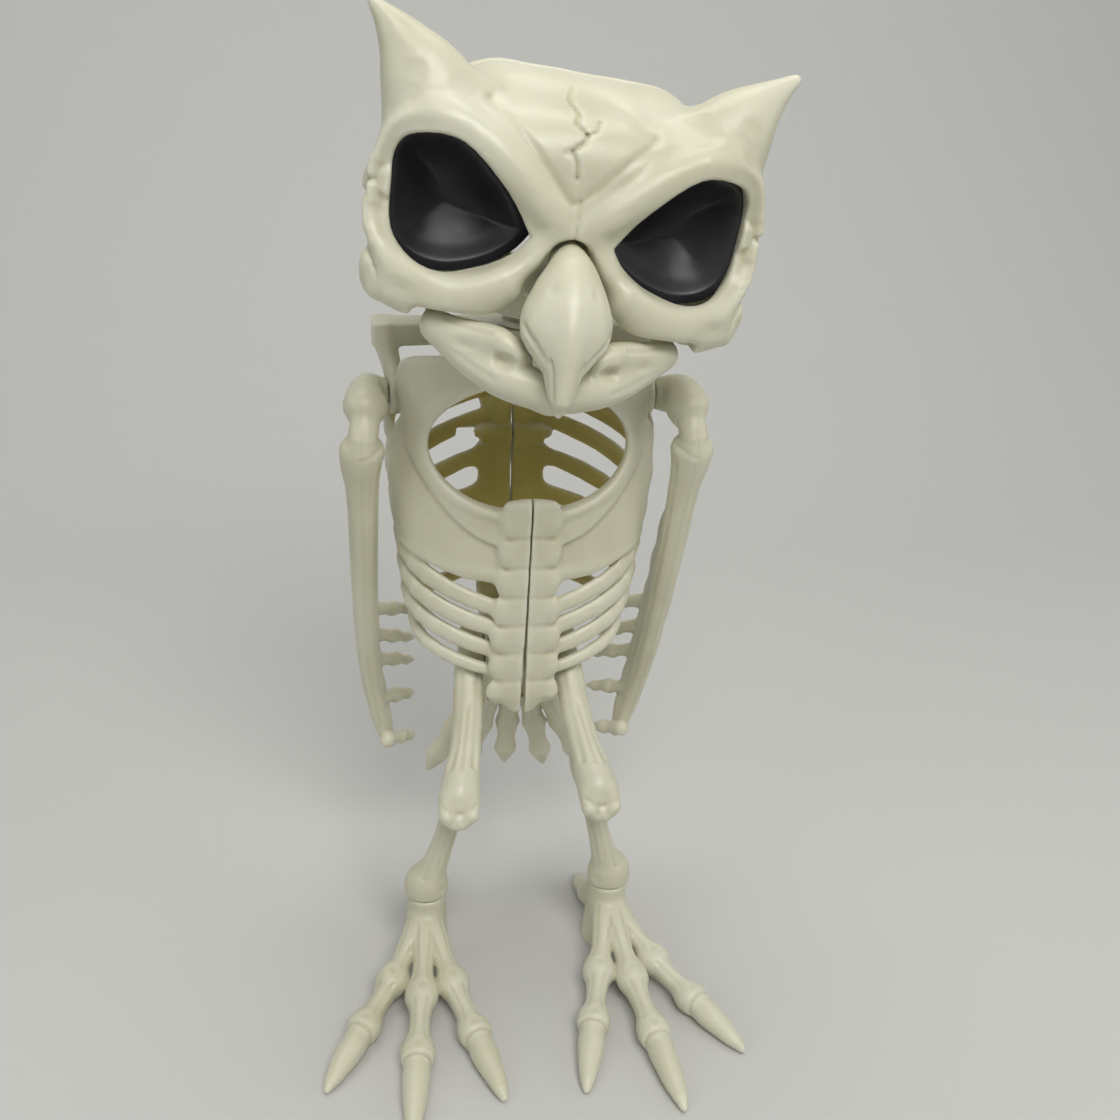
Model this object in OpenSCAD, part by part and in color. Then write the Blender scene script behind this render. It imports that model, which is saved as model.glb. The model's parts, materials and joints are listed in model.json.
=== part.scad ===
// Owl skeleton: a posable hollow plastic figure that stands on its feet and faces -Y.
// Its left side is +X. Bones are lofted through a few stations; fits and bores are true cylinders.

/* [Stance] */
// Height of the shoulder yoke's flat top above the floor
yoke_top_z = 226; // [224:1:228]
// Height of the hip axle above the floor
hip_z = 112; // [111:1:113]
// Height of the gap between shin and foot
ankle_z = 27; // [26:0.5:28]
// Sideways lean of the head, in degrees
head_roll = 7; // [0:1:8]
// Front-to-back place of the neck axis
neck_y = 18; // [17:0.5:19]

/* [Rib cage] */
// Thickness of the chest plate
plate_wall = 2.6; // [2:0.2:3.2]
// Height of a rib's section
rib_high = 6.2; // [5:0.2:6.6]
// Depth of a rib's section
rib_deep = 3.6; // [3:0.2:4.2]
// Gap between the two rib-cage halves
seam_gap = 0.5; // [0.3:0.1:0.9]

/* [Skull] */
// Thickness of the skull shells
skull_wall = 2.2; // [1.8:0.2:2.6]
// Parting gap round the beak
beak_gap = 1.2; // [0.8:0.1:1.6]

/* [Fits] */
// Radius of a limb peg
peg_r = 3; // [2.6:0.1:3.2]
// Radial clearance of a running fit
fit = 0.05; // [0.03:0.01:0.1]
// Clearance between faces that move past each other
air = 0.35; // [0.3:0.05:0.5]

/* [Hidden] */
bone_colour = [0.85, 0.84, 0.74];
steel = [0.62, 0.62, 0.6];
tiny = 0.01;

// Shifts the drawing, made about its own symmetry plane, so that the box stands on the origin
placement = [0, 31.07, 0];

// Axes: shoulders and hips turn about X, the neck and the ankles about Z
shoulder = [45, 15, 203];
hip = [17, 4, hip_z];
ankle = [33.8, -22.6, ankle_z];
neck_ball_z = yoke_top_z + 10;
ball_r = 7;
screw_r = 1.25;

// ---- Lofting helpers ----

function unit(v) = v / norm(v);
function place(q) = [q[0], q[1], q[2]];
function curve(a, b, c, d, t) =
    0.5 * (2 * b + (c - a) * t + (2 * a - 5 * b + 4 * c - d) * t * t + (3 * b - a - 3 * c + d) * t * t * t);
function smooth(p, n) = let (m = len(p) - 1) [
    for (i = [0:m - 1]) for (k = [0:n - 1])
        curve(p[max(i - 1, 0)], p[i], p[i + 1], p[min(i + 2, m)], k / n),
    p[m]
];

// Closes rings of equally many points into a solid with flat ends
module skin(points, sides) {
    last = len(points) / sides - 1;
    polyhedron(points, concat(
        [[for (k = [0:sides - 1]) k]],
        [for (i = [0:last - 1]) for (k = [0:sides - 1]) let (n = (k + 1) % sides)
            [i * sides + k, (i + 1) * sides + k, (i + 1) * sides + n]],
        [for (i = [0:last - 1]) for (k = [0:sides - 1]) let (n = (k + 1) % sides)
            [i * sides + k, (i + 1) * sides + n, i * sides + n]],
        [[for (k = [sides - 1:-1:0]) last * sides + k]]
    ));
}

// A bone through stations [x, y, z, half-width along side, half-depth across it]
module bone(stations, steps = 3, sides = 12, side = [1, 0, 0], grow = 0) {
    q = smooth(stations, steps);
    last = len(q) - 1;
    skin([
        for (i = [0:last]) let (
            along = unit(place(q[min(i + 1, last)]) - place(q[max(i - 1, 0)])),
            u = unit(side - along * (side * along)),
            v = cross(along, u)
        ) for (k = [0:sides - 1]) let (a = 360 * k / sides)
            place(q[i]) + u * (q[i][3] + grow) * cos(a) + v * (q[i][4] + grow) * sin(a)
    ], sides);
}

module pair() {
    children();
    mirror([1, 0, 0]) children();
}

// One moulding made of many lofts
module moulded() {
    minkowski() {
        union() children();
    }
}

module ball(p, r, n = 12) {
    translate(p) sphere(r, $fn = n);
}

// A screw whose head stands on z = 0 and whose shank runs down
module screw(head_r, head_h, r, length) {
    color(steel) difference() {
        union() {
            cylinder(head_h, head_r, head_r, $fn = 32);
            translate([0, 0, -length]) cylinder(length + tiny, r, r, $fn = 24);
        }
        for (a = [0, 90]) rotate([0, 0, a])
            translate([-head_r * 0.6, -0.35, head_h * 0.45]) cube([head_r * 1.2, 0.7, head_h]);
    }
}

module washer(r, hole_r, thick) {
    color(steel) difference() {
        cylinder(thick, r, r, $fn = 40);
        translate([0, 0, -1]) cylinder(thick + 2, hole_r, hole_r, $fn = 24);
    }
}

// ---- Rib cage ----

cage_width = [[97, 30], [115, 37], [135, 41.5], [160, 44], [180, 46.5], [200, 46.5], [222, 45.5]];
cage_front = [[97, -10], [115, -12], [145, -14], [172, -13], [200, -5], [222, 2]];
cage_back = [[97, 24], [115, 30], [135, 35], [160, 39], [190, 43], [222, 43]];

function bent(s, power) = sign(s) * pow(abs(s), power);
// A point on the cage's surface: angle 0 is the front, 180 the back, grow moves it outward
function cage(a, z, grow = 0) = let (
    front = lookup(z, cage_front) - grow,
    back = lookup(z, cage_back) + grow
) [
    (lookup(z, cage_width) + grow) * bent(sin(a), 0.86),
    (front + back) / 2 - (back - front) / 2 * bent(cos(a), 0.86),
    z
];
function rib_z(z, t) = z[0] * (1 - t) * (1 - 2 * t) + z[1] * 4 * t * (1 - t) + z[2] * t * (2 * t - 1);

// One rib from angle a0 to a1; z holds its heights at the front, side and back
module rib(z, a0, a1) {
    stations = [for (s = [0:7]) let (a = a0 + (a1 - a0) * s / 7)
        concat(cage(a, rib_z(z, a / 180), -rib_deep / 2), [rib_high / 2, rib_deep / 2])];
    bone(stations, 1, 6, [0, 0, 1]);
}

// The cage's outer form between its lowest and highest chest-plate level
module cage_loft(grow, reach) {
    skin([for (z = [142 - reach, 160, 174, 188, 202, 221 + reach]) for (k = [0:19]) cage(18 * k + 9, z, grow)],
        20);
}

module cage_shell() {
    difference() {
        cage_loft(0, 0);
        cage_loft(-plate_wall, 2);
    }
}

// Depth of the cage's front wall at x, z
function front_y(x, z) = let (
    front = lookup(z, cage_front),
    back = lookup(z, cage_back),
    s = pow(abs(x) / lookup(z, cage_width), 1 / 0.86)
) (front + back) / 2 - (back - front) / 2 * pow(sqrt(1 - s * s), 0.86);

hole_z = 191.5;
hole_rx = 33;
hole_rz = 20;

// The chest plate's right-angled front view, with the neck opening
module plate_outline() {
    difference() {
        polygon([
            [0, 146], [12, 146], [21, 147], [28.5, 150], [35, 154], [50, 163], [50, 186], [44, 195], [40.5, 199],
            [40.5, 203], [43, 207], [44.3, 212], [43.5, 215.5], [40, 217.5], [20, 219.5], [0, 220]
        ]);
        polygon([for (a = [0:12:348]) [hole_rx * cos(a), hole_z + hole_rz * sin(a)]]);
    }
}

// Raised band round the neck opening
module collar_band() {
    bone([for (a = [-96:24:96]) let (x = (hole_rx + 4.4) * cos(a), z = hole_z + (hole_rz + 4.4) * sin(a))
        [x, front_y(x, z) + 0.6, z, 2, 4.6]], 2, 8, [0, 1, 0]);
}

module sternum_half() {
    for (k = [0:6]) {
        z = 168.5 - 11 * k;
        w = 9 + 0.65 * k;
        y = -15.5 + 0.6 * k;
        narrow = k == 6 ? 0.55 : 0.86;
        hull() {
            ball([2, y, z + 4.6], 2, 6);
            ball([w * 0.86 - 2, y + 0.6, z + 4.6], 2, 6);
            ball([w - 2, y + 0.8, z], 2.2, 6);
            ball([w * narrow - 2, y + 0.6, z - 5.2], 2, 6);
            ball([2, y, z - 5.6], 2, 6);
        }
    }
}

spine_bolts = [[38, 181], [34.5, 141]];

module spine_half() {
    bone([for (z = [100:22:210]) [4, lookup(z, cage_back) - 2.6, z, 4, 2.8]], 1, 8);
    for (k = [0:6]) {
        z = 106 + 17 * k;
        y = lookup(z, cage_back) - 2.4;
        hull() {
            ball([3, y, z - 4], 3.2, 6);
            ball([6.5, y + 0.4, z], 3.2, 6);
            ball([3, y, z + 4], 3.2, 6);
        }
    }
    for (b = spine_bolts) translate([0, b[0], b[1]]) rotate([0, 90, 0]) cylinder(11.5, 4.6, 4, $fn = 16);
    translate([7, 38, 198]) cylinder(19.7, 4.2, 4.2, $fn = 16);
}

module ribcage_half() {
    difference() {
        union() {
            intersection() {
                cage_shell();
                translate([0, 8, 0]) rotate([90, 0, 0]) linear_extrude(40) plate_outline();
            }
            collar_band();
            for (z = [[133, 155, 176], [125, 144.5, 162], [116, 134, 148], [108, 122, 133]]) rib(z, 11, 173);
            for (z = [[150, 168, 190], [162, 180, 200], [174, 192, 209]]) rib(z, 68, 173);
            sternum_half();
            spine_half();
        }
        translate([-60, -60, 90]) cube([60 + seam_gap / 2, 120, 140]);
        for (b = spine_bolts) translate([-1, b[0], b[1]]) rotate([0, 90, 0]) cylinder(9, 1.4, 1.4, $fn = 16);
        translate([7, 38, 205]) cylinder(20, 1.4, 1.4, $fn = 16);
        // seats for the pelvis screws behind the spine
        translate([5, 60, hip_z]) rotate([90, 0, 0]) cylinder(60, 1.5, 1.5, $fn = 16);
        translate([-1, 10, hip_z - 9]) cube([14, 16.3, 18]);
        translate([-1, 31.2, hip_z - 4.5]) cube([12, 12, 9]);
    }
}

module ribcage_left() {
    color(bone_colour) ribcage_half();
}

module ribcage_right() {
    color(bone_colour) mirror([1, 0, 0]) difference() {
        ribcage_half();
        for (b = spine_bolts) translate([6.5, b[0], b[1]]) rotate([0, 90, 0]) cylinder(20, 2.7, 2.7, $fn = 20);
        for (b = spine_bolts) translate([-1, b[0], b[1]]) rotate([0, 90, 0]) cylinder(20, 1.5, 1.5, $fn = 16);
    }
}

module ribcage_screws() {
    for (b = spine_bolts) translate([-6.6, b[0], b[1]]) rotate([0, -90, 0]) screw(2.5, 2, screw_r, 13);
}

// ---- Shoulder yoke ----

yoke_thick = 8;

module shoulder_yoke() {
    bar_z = yoke_top_z - yoke_thick;
    color(bone_colour) difference() {
        union() {
            translate([0, 0, bar_z]) linear_extrude(yoke_thick)
                polygon([[-50, 17], [-38, 18.5], [-15, 22], [-12, 10], [12, 10], [15, 22], [38, 18.5], [50, 17],
                    [50, 32], [38, 31], [13, 33], [12, 44], [-12, 44], [-13, 33], [-38, 31], [-50, 32]]);
            pair() bone([[46, 24, yoke_top_z - 0.1, 4, 7.4], [45.5, 22.5, 219, 3.8, 6.4],
                [43.6, 19, 212, 3.2, 4.6], [42.6, 16, 206, 2.8, 5], [42.4, 15, 203, 2.4, 4.5]], 2, 12);
            pair() translate([39.5, shoulder[1], shoulder[2]]) rotate([0, 90, 0]) cylinder(4.9, 6.4, 6.4, $fn = 40);
        }
        translate([0, neck_y, bar_z - 1]) cylinder(yoke_thick + 2, 5 + fit, 5 + fit, $fn = 48);
        for (s = [-7, 7]) translate([s, 38, bar_z - 1]) cylinder(yoke_thick + 2, screw_r + fit, screw_r + fit, $fn = 24);
        for (s = [-7, 7]) translate([s, 38, yoke_top_z - 2.2]) cylinder(4, 2.7, 2.7, $fn = 24);
        pair() translate([30, shoulder[1], shoulder[2]]) rotate([0, 90, 0]) cylinder(30, peg_r + fit, peg_r + fit, $fn = 48);
        pair() translate([20, shoulder[1], shoulder[2]]) rotate([0, 90, 0]) cylinder(19.5, 8, 8, $fn = 40);
    }
}

module yoke_screws() {
    for (s = [-7, 7]) translate([s, 38, yoke_top_z - 2.1]) screw(2.5, 1.8, screw_r, 16);
}

// ---- Pelvis and tail ----

module pelvis_half() {
    difference() {
        union() {
            translate([seam_gap / 2, -1, hip_z - 8]) cube([11.6, 27, 16]);
            translate([seam_gap / 2, 4, hip_z]) rotate([0, 90, 0]) cylinder(11.9, 8, 8, $fn = 48);
        }
        translate([-1, hip[1], hip_z]) rotate([0, 90, 0]) cylinder(20, peg_r + fit, peg_r + fit, $fn = 48);
        translate([-1, hip[1], hip_z]) rotate([0, 90, 0]) cylinder(8, 5.2, 5.2, $fn = 48);
        translate([5, 30, hip_z]) rotate([90, 0, 0]) cylinder(16, screw_r + fit, screw_r + fit, $fn = 24);
        translate([6, 15, hip_z - 10]) cylinder(9, screw_r + fit, screw_r + fit, $fn = 24);
    }
}

module pelvis_left() {
    color(bone_colour) pelvis_half();
}

module pelvis_right() {
    color(bone_colour) mirror([1, 0, 0]) pelvis_half();
}

module pelvis_screws() {
    for (s = [-5, 5]) translate([s, 31.3, hip_z]) rotate([-90, 0, 0]) screw(2.5, 2, screw_r, 15);
}

tail_root_z = hip_z - 8.1;

// A tail bone from the root block to its tip
module tail_bone(tip_x, tip_z, lean) {
    root = [tip_x * 0.22, 14, tail_root_z - 4];
    tip = [tip_x, 14 + lean, tip_z];
    span = tip - root;
    bone([for (s = [[0, 3.4], [0.25, 4], [0.5, 3.8], [0.58, 4.6], [0.64, 3.8], [0.78, 3.8], [0.84, 4.3],
        [0.92, 2.8], [1, 0.8]]) concat(root + span * s[0], [s[1], s[1] * 0.75])], 2, 6);
}

module tail_fan() {
    color(bone_colour) difference() {
        union() {
            translate([-10, 9.6, tail_root_z - 7]) cube([20, 9.8, 7]);
            tail_bone(0, 49, 11);
            for (s = [-1, 1]) {
                tail_bone(15.5 * s, 48, 10);
                tail_bone(30.5 * s, 49, 8);
            }
        }
        for (s = [-6, 6]) {
            translate([s, 15, tail_root_z - 12]) cylinder(14, screw_r + fit, screw_r + fit, $fn = 24);
            translate([s, 15, tail_root_z - 20]) cylinder(15, 2.7, 2.7, $fn = 24);
        }
    }
}

module tail_screws() {
    for (s = [-6, 6]) translate([s, 15, tail_root_z - 5.1]) rotate([180, 0, 0]) screw(2.5, 1.8, screw_r, 10);
}

// ---- Neck ----

module neck_post() {
    color(bone_colour) difference() {
        translate([0, neck_y, 0]) union() {
            translate([0, 0, yoke_top_z - yoke_thick - 0.6]) cylinder(yoke_thick + 3, 5, 5, $fn = 48);
            translate([0, 0, yoke_top_z + air]) cylinder(1.6, 8.5, 7.5, $fn = 48);
            translate([0, 0, yoke_top_z + air]) cylinder(6, 4.2, 4.2, $fn = 48);
            translate([0, 0, neck_ball_z]) sphere(ball_r, $fn = 48);
        }
        translate([0, neck_y, 200]) cylinder(30, screw_r + fit, screw_r + fit, $fn = 24);
    }
}

module neck_washer() {
    translate([0, neck_y, yoke_top_z - yoke_thick - 1.8]) washer(8, 1.5, 1.1);
}

module neck_screw() {
    translate([0, neck_y, yoke_top_z - yoke_thick - 1.9]) rotate([180, 0, 0]) screw(3.2, 2.2, screw_r, 12);
}

// ---- Head, drawn with the bridge of the nose at the origin ----

bridge_forward = 56.4;
bridge_up = 26.5;
socket = [0, bridge_forward, -bridge_up];

module head_frame() {
    translate([0, neck_y, neck_ball_z]) rotate([0, head_roll, 0]) translate([0, -bridge_forward, bridge_up])
        children();
}

// The braincase and face as one solid; grow is negative for its hollow
module skull_solid(grow) {
    hull() for (s = [-1, 1]) {
        ball([24 * s, 30, 20], 23 + grow, 18);
        ball([33 * s, 27, 8], 21 + grow, 14);
        ball([34 * s, 14, 18], 19 + grow, 14);
        ball([35 * s, 14, -2], 17 + grow, 14);
        ball([22 * s, 52, 14], 26 + grow, 18);
        ball([25 * s, 50, -2], 21 + grow, 14);
    }
    hull() for (s = [-1, 1]) {
        ball([10 * s, 10, 22], 14 + grow, 12);
        ball([8 * s, 8, 4], 9 + grow, 12);
    }
    hull() for (s = [-1, 1]) {
        ball([36 * s, 8, -14], 12 + grow, 12);
        ball([34 * s, 30, -12], 13 + grow, 12);
    }
}

eye = [[12, 1], [20, 12], [34, 22.5], [46, 22], [51, 14], [51, 6], [48.5, -4], [42, -9.5], [34, -11.5],
    [24, -9], [16, -4]];

// Eye opening pressed from front to back between two depths
module eye_press(y0, y1, grow = 0) {
    translate([0, y1, 0]) rotate([90, 0, 0]) linear_extrude(y1 - y0) offset(delta = grow) polygon(eye);
}

beak_stations = [[0, -1.5, -1, 2.6, 2.4], [0, -8, -7, 7, 7], [0, -12, -15, 11.5, 9.5], [0, -14.5, -21.5, 12.8, 10],
    [0, -17, -26.5, 9.8, 8.2], [0, -19.6, -31.5, 6, 6.2], [0, -22, -37, 3.7, 4.2], [0, -23.6, -41.5, 1.1, 1.3]];

module face_relief() {
    pair() {
        // ear
        bone([[40, 14, 30, 15.5, 12], [45, 14.5, 38, 11, 9], [53, 15.5, 46, 5.6, 5], [60.3, 16, 52.4, 0.9, 0.9]], 3, 12);
        // brow ridge and eye rim
        bone([[5, -1.5, 6, 5, 4.5], [14, -3, 12, 5, 4.6], [24, -2, 20.5, 4.6, 4.6], [35, 1, 27, 4, 4.5],
            [47, 4, 26.5, 3.4, 4], [54, 7, 19, 2.6, 4], [55, 8, 6, 2.4, 4], [52, 5, -6.5, 3, 4.4],
            [43, 1, -14, 3.6, 5], [31, -2.5, -16.5, 4, 5.4], [20, -4, -12.5, 4, 5], [11, -3, -5, 3.6, 4],
            [6.5, -1.5, 1.5, 3.4, 3.6]], 2, 8, [0, 0.01, 1]);
        // cheek
        hull() {
            ball([49, 5, -17], 6.5, 10);
            ball([34, -2, -20], 7, 10);
            ball([20, -5, -14], 4.5, 10);
            ball([40, 16, -18], 7, 10);
        }
    }
    bone([[0, -1, -2, 6, 3], [0, 0, 6, 8, 5], [0, 2, 16, 11, 7], [0, 5, 28, 15, 8]], 2, 10);
}

seam_y = 27;

module skull_body() {
    difference() {
        union() {
            skull_solid(0);
            face_relief();
        }
        skull_solid(-skull_wall);
        pair() eye_press(-30, 26);
        // room round the beak
        bone(beak_stations, 2, 12, grow = beak_gap);
        hull() {
            ball([0, -12, -14], 10, 12);
            ball([0, 6, -14], 9, 12);
        }
        // way in for the jaw's arms, and for the neck
        translate([-38.4, 5, -45]) cube([76.8, 27, 29]);
        translate([-40, -20, -50]) cube([80, 26, 28.2]);
        translate(socket - [0, 0, 12]) cylinder(30, 14.4, 14.4, $fn = 40);
    }
}

// Screw posts inside the skull, each with a web that reaches the wall in direction [x, z]
skull_bolts = [[-41, 6], [41, 6], [-24, 37], [24, 37]];
skull_webs = [[-12, 2], [12, 2], [2, 12], [2, 12]];

module skull_post(b, y, length, r) {
    translate([b[0], y, b[1]]) rotate([-90, 0, 0]) cylinder(length, r, r, $fn = 20);
}

module skull_posts(y, length) {
    intersection() {
        for (k = [0:3]) {
            skull_post(skull_bolts[k], y, length, 3.4);
            web = skull_webs[k];
            translate([skull_bolts[k][0] + min(web[0], 0), y, skull_bolts[k][1]] - [abs(web[0]) < 3 ? 1 : 0, 0, 0])
                cube([abs(web[0]), length, web[1]]);
        }
        skull_solid(-0.5);
    }
}

module skull_front() {
    color(bone_colour) head_frame() difference() {
        union() {
            intersection() {
                skull_body();
                translate([-80, -60, -80]) cube([160, 60 + seam_y - 0.1, 160]);
            }
            skull_posts(seam_y - 6, 5.9);
        }
        for (b = skull_bolts) skull_post(b, seam_y - 5, 8, 1.4);
    }
}

module skull_back() {
    color(bone_colour) head_frame() difference() {
        union() {
            intersection() {
                skull_body();
                translate([-80, seam_y + 0.1, -80]) cube([160, 100, 160]);
            }
            skull_posts(seam_y + 0.1, 40);
        }
        for (b = skull_bolts) skull_post(b, seam_y - 1, 80, 1.4);
        for (b = skull_bolts) skull_post(b, seam_y + 6, 80, 2.7);
    }
}

module skull_screws() {
    head_frame() for (b = skull_bolts)
        translate([b[0], seam_y + 6.1, b[1]]) rotate([-90, 0, 0]) screw(2.5, 2, screw_r, 10.5);
}

module eye_liner() {
    color([0.03, 0.03, 0.035]) difference() {
        hull() {
            eye_press(9, 10.5, 1.6);
            ball([33, 16, 5], 9, 16);
        }
        hull() {
            eye_press(8, 9.2, 0.2);
            ball([33, 14.6, 5], 8.6, 16);
        }
        skull_clear();
    }
}

// Room that the shell, its posts and the nose wall leave the eye liners
module skull_clear() {
    difference() {
        translate([-80, -60, -80]) cube([160, 160, 160]);
        skull_solid(-skull_wall - 0.2);
    }
    skull_post([41, 6], seam_y - 7, 10, 3.8);
}

module eye_liner_left() {
    head_frame() eye_liner();
}

module eye_liner_right() {
    head_frame() mirror([1, 0, 0]) eye_liner();
}

stem_z = -13;

module upper_beak() {
    color(bone_colour) head_frame() union() {
        bone(beak_stations, 3, 16);
        translate([0, 24, stem_z]) rotate([90, 0, 0]) cylinder(36, 4, 4, $fn = 40);
    }
}

jaw_axis = [28, 24, -14];
lug_x = 24;

module head_core() {
    color(bone_colour) head_frame() difference() {
        union() {
            translate(socket - [0, 0, 6]) cylinder(12, 11.6, 11.6, $fn = 48);
            translate(socket + [0, 0, 5.9]) cylinder(4.7, 14, 14, $fn = 48);
            // floor plate from the socket ring to the jaw lugs
            translate([0, 0, -18.9]) linear_extrude(3)
                polygon([[-lug_x - 3, 20], [lug_x + 3, 20], [lug_x + 3, 30], [14, 52], [9, 60], [-9, 60], [-14, 52],
                    [-lug_x - 3, 30]]);
            for (s = [-1, 1]) translate([s * (lug_x + 1.5) - 1.5, 20, -20]) cube([3, 9, 9.5]);
            translate([-6.5, 15, -20]) cube([13, 10, 13.5]);
        }
        translate(socket) sphere(ball_r + 0.2, $fn = 48);
        translate(socket - [0, 0, 10]) cylinder(10, 6.2, 5.6, $fn = 48);
        translate(socket - [0, 0, 7]) cylinder(4.5, 9, 6, $fn = 48);
        translate([-30, jaw_axis[1], jaw_axis[2]]) rotate([0, 90, 0]) cylinder(60, 1.5, 1.5, $fn = 32);
        translate([0, 30, stem_z]) rotate([90, 0, 0]) cylinder(30, 4 + fit, 4 + fit, $fn = 40);
        for (s = [-1, 1]) translate([9.6 * s, bridge_forward, -40]) cylinder(30, 0.9, 0.9, $fn = 20);
        translate(socket + [0, 0, 1.5]) cylinder(20, 8.2, 8.2, $fn = 48);
        translate(socket + [0, 0, 6]) cylinder(20, 11.8, 11.8, $fn = 48);
    }
}

module socket_cap() {
    color(bone_colour) head_frame() difference() {
        union() {
            translate(socket + [0, 0, 6.1]) cylinder(2.4, 11.4, 11.4, $fn = 48);
            translate(socket + [0, 0, 1.6]) cylinder(6, 8.1, 8.1, $fn = 48);
        }
        translate(socket) sphere(ball_r + 0.2, $fn = 48);
        for (s = [-1, 1]) translate([9.6 * s, bridge_forward, -40]) cylinder(30, 0.9, 0.9, $fn = 20);
    }
}

module core_screws() {
    head_frame() for (s = [-1, 1])
        translate([9.6 * s, bridge_forward, socket[2] + 8.6]) screw(1.7, 1.2, 0.85, 7);
}

jaw_boss_x = 31.5;

module lower_jaw() {
    color(bone_colour) head_frame() difference() {
        union() {
            difference() {
                hull() {
                    for (s = [-1, 1]) {
                        ball([33 * s, 3, -28.2], 4.4, 12);
                        ball([15 * s, -7, -27.6], 4.2, 12);
                        ball([22 * s, -3, -34.5], 5, 12);
                        ball([12 * s, -9, -37], 6, 16);
                    }
                    ball([0, -11.5, -39.5], 6, 16);
                }
                hull() {
                    for (s = [-1, 1]) {
                        ball([31 * s, 8, -22], 4.6, 12);
                        ball([14 * s, -1, -29], 5.6, 12);
                        ball([13 * s, -1, -20], 5, 12);
                    }
                    ball([0, -5, -34], 6, 12);
                    ball([0, -12, -20], 8, 12);
                }
                bone(beak_stations, 2, 12, grow = beak_gap + 0.2);
            }
            pair() bone([[34, 3, -28, 3, 4], [33.5, 12, -22, 2.4, 3.4], [jaw_boss_x + 0.5, 20, -16.5, 2.2, 3.4],
                [jaw_boss_x, 24, -14, 1.8, 3.2]], 2, 10);
            pair() translate([jaw_boss_x - 2.2, jaw_axis[1], jaw_axis[2]]) rotate([0, 90, 0])
                cylinder(4.4, 4, 4, $fn = 40);
        }
        translate([-60, jaw_axis[1], jaw_axis[2]]) rotate([0, 90, 0]) cylinder(120, 1.5 + fit, 1.5 + fit, $fn = 32);
    }
}

module jaw_pins() {
    color(steel) head_frame() for (s = [-1, 1])
        translate([s > 0 ? lug_x : -lug_x - 9, jaw_axis[1], jaw_axis[2]]) rotate([0, 90, 0])
            cylinder(9, 1.5, 1.5, $fn = 32);
}

// ---- Wing: knuckle, long bone, the bumpy strip behind it and five feather bones ----

wing_line = [[54, -7, 192, 7.2, 6.6], [54.4, -5, 185, 6.6, 6.4], [54, -2, 174, 5.2, 5.2], [53.8, 3, 154, 4.8, 4.6],
    [53.5, 11, 128, 4.4, 4.2], [52.5, 18, 103, 4, 3.8], [50.5, 22.5, 84, 3.4, 3.4], [47.5, 25, 68, 2.8, 3],
    [44.5, 26, 60, 2, 2.2]];
pin_end = 51.5;
feathers = [[120, 22, 113], [108, 25, 99], [96, 27.5, 88], [80, 26, 74], [64, 22, 57]];

module wing() {
    moulded() difference() {
        union() {
            // knuckle: from the shoulder out over the top of the long bone
            bone([[46.9, 15, 203, 5.6, 5.6], [49.5, 14, 203.4, 6.2, 6.4], [52.2, 9, 204.4, 5.4, 7.2],
                [53, 3, 204.6, 5.2, 7.4], [53.6, -3, 202.5, 5.4, 7], [54, -7, 197, 5.4, 5.6],
                [54, -9.2, 192, 4.6, 4.2], [54, -10, 188.5, 2, 1.6]], 2, 10, [0.6, 0.6, 0]);
            bone(wing_line, 2, 10);
            // strip behind the long bone
            bone([[52, 6, 162, 1.8, 3], [51.5, 12.5, 140, 2.4, 4], [51, 18, 122, 2.4, 4.4], [50, 24.5, 100, 2.4, 4.4],
                [48, 28, 82, 2.2, 4], [45.3, 28, 65, 2, 3]], 2, 8);
            for (f = feathers) let (root = [lookup(f[0], [[60, 45], [84, 49.5], [120, 51]]), f[1], f[0]]) bone([
                concat(root, [3.4, 3.2]), concat(root + [-6, 5, -1], [2.6, 2.6]),
                concat(root + [-9, 7, -2], [3.1, 3]), concat([max(root[0] - 16, 34.8), root[1] + 13, f[2]], [0.8, 0.8])
            ], 2, 6, [0, 0, 1]);
        }
        translate([shoulder[0] - 6, shoulder[1], shoulder[2]]) rotate([0, 90, 0])
            cylinder(pin_end - shoulder[0] + 6.2, peg_r + 0.1, peg_r + 0.1, $fn = 30);
    }
}

module wing_left() {
    color(bone_colour) wing();
}

module wing_right() {
    color(bone_colour) mirror([1, 0, 0]) wing();
}

// Pin pressed into the knuckle, turning in the yoke
module shoulder_pin() {
    color(bone_colour) difference() {
        translate([shoulder[0] - 6, shoulder[1], shoulder[2]]) rotate([0, 90, 0])
            cylinder(pin_end - shoulder[0] + 6, peg_r, peg_r, $fn = 48);
        translate([shoulder[0] - 7, shoulder[1], shoulder[2]]) rotate([0, 90, 0])
            cylinder(9, screw_r + fit, screw_r + fit, $fn = 24);
    }
}

module shoulder_pin_left() {
    shoulder_pin();
}

module shoulder_pin_right() {
    mirror([1, 0, 0]) shoulder_pin();
}

module shoulder_washer() {
    translate([shoulder[0] - 7.2, shoulder[1], shoulder[2]]) rotate([0, 90, 0]) washer(5, 1.5, 1.1);
}

module shoulder_washer_left() {
    shoulder_washer();
}

module shoulder_washer_right() {
    mirror([1, 0, 0]) shoulder_washer();
}

module shoulder_screw() {
    translate([shoulder[0] - 7.3, shoulder[1], shoulder[2]]) rotate([0, -90, 0]) screw(2.6, 2, screw_r, 8);
}

module shoulder_screw_left() {
    shoulder_screw();
}

module shoulder_screw_right() {
    mirror([1, 0, 0]) shoulder_screw();
}

// ---- Leg: thigh and shin in one moulding ----

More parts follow.
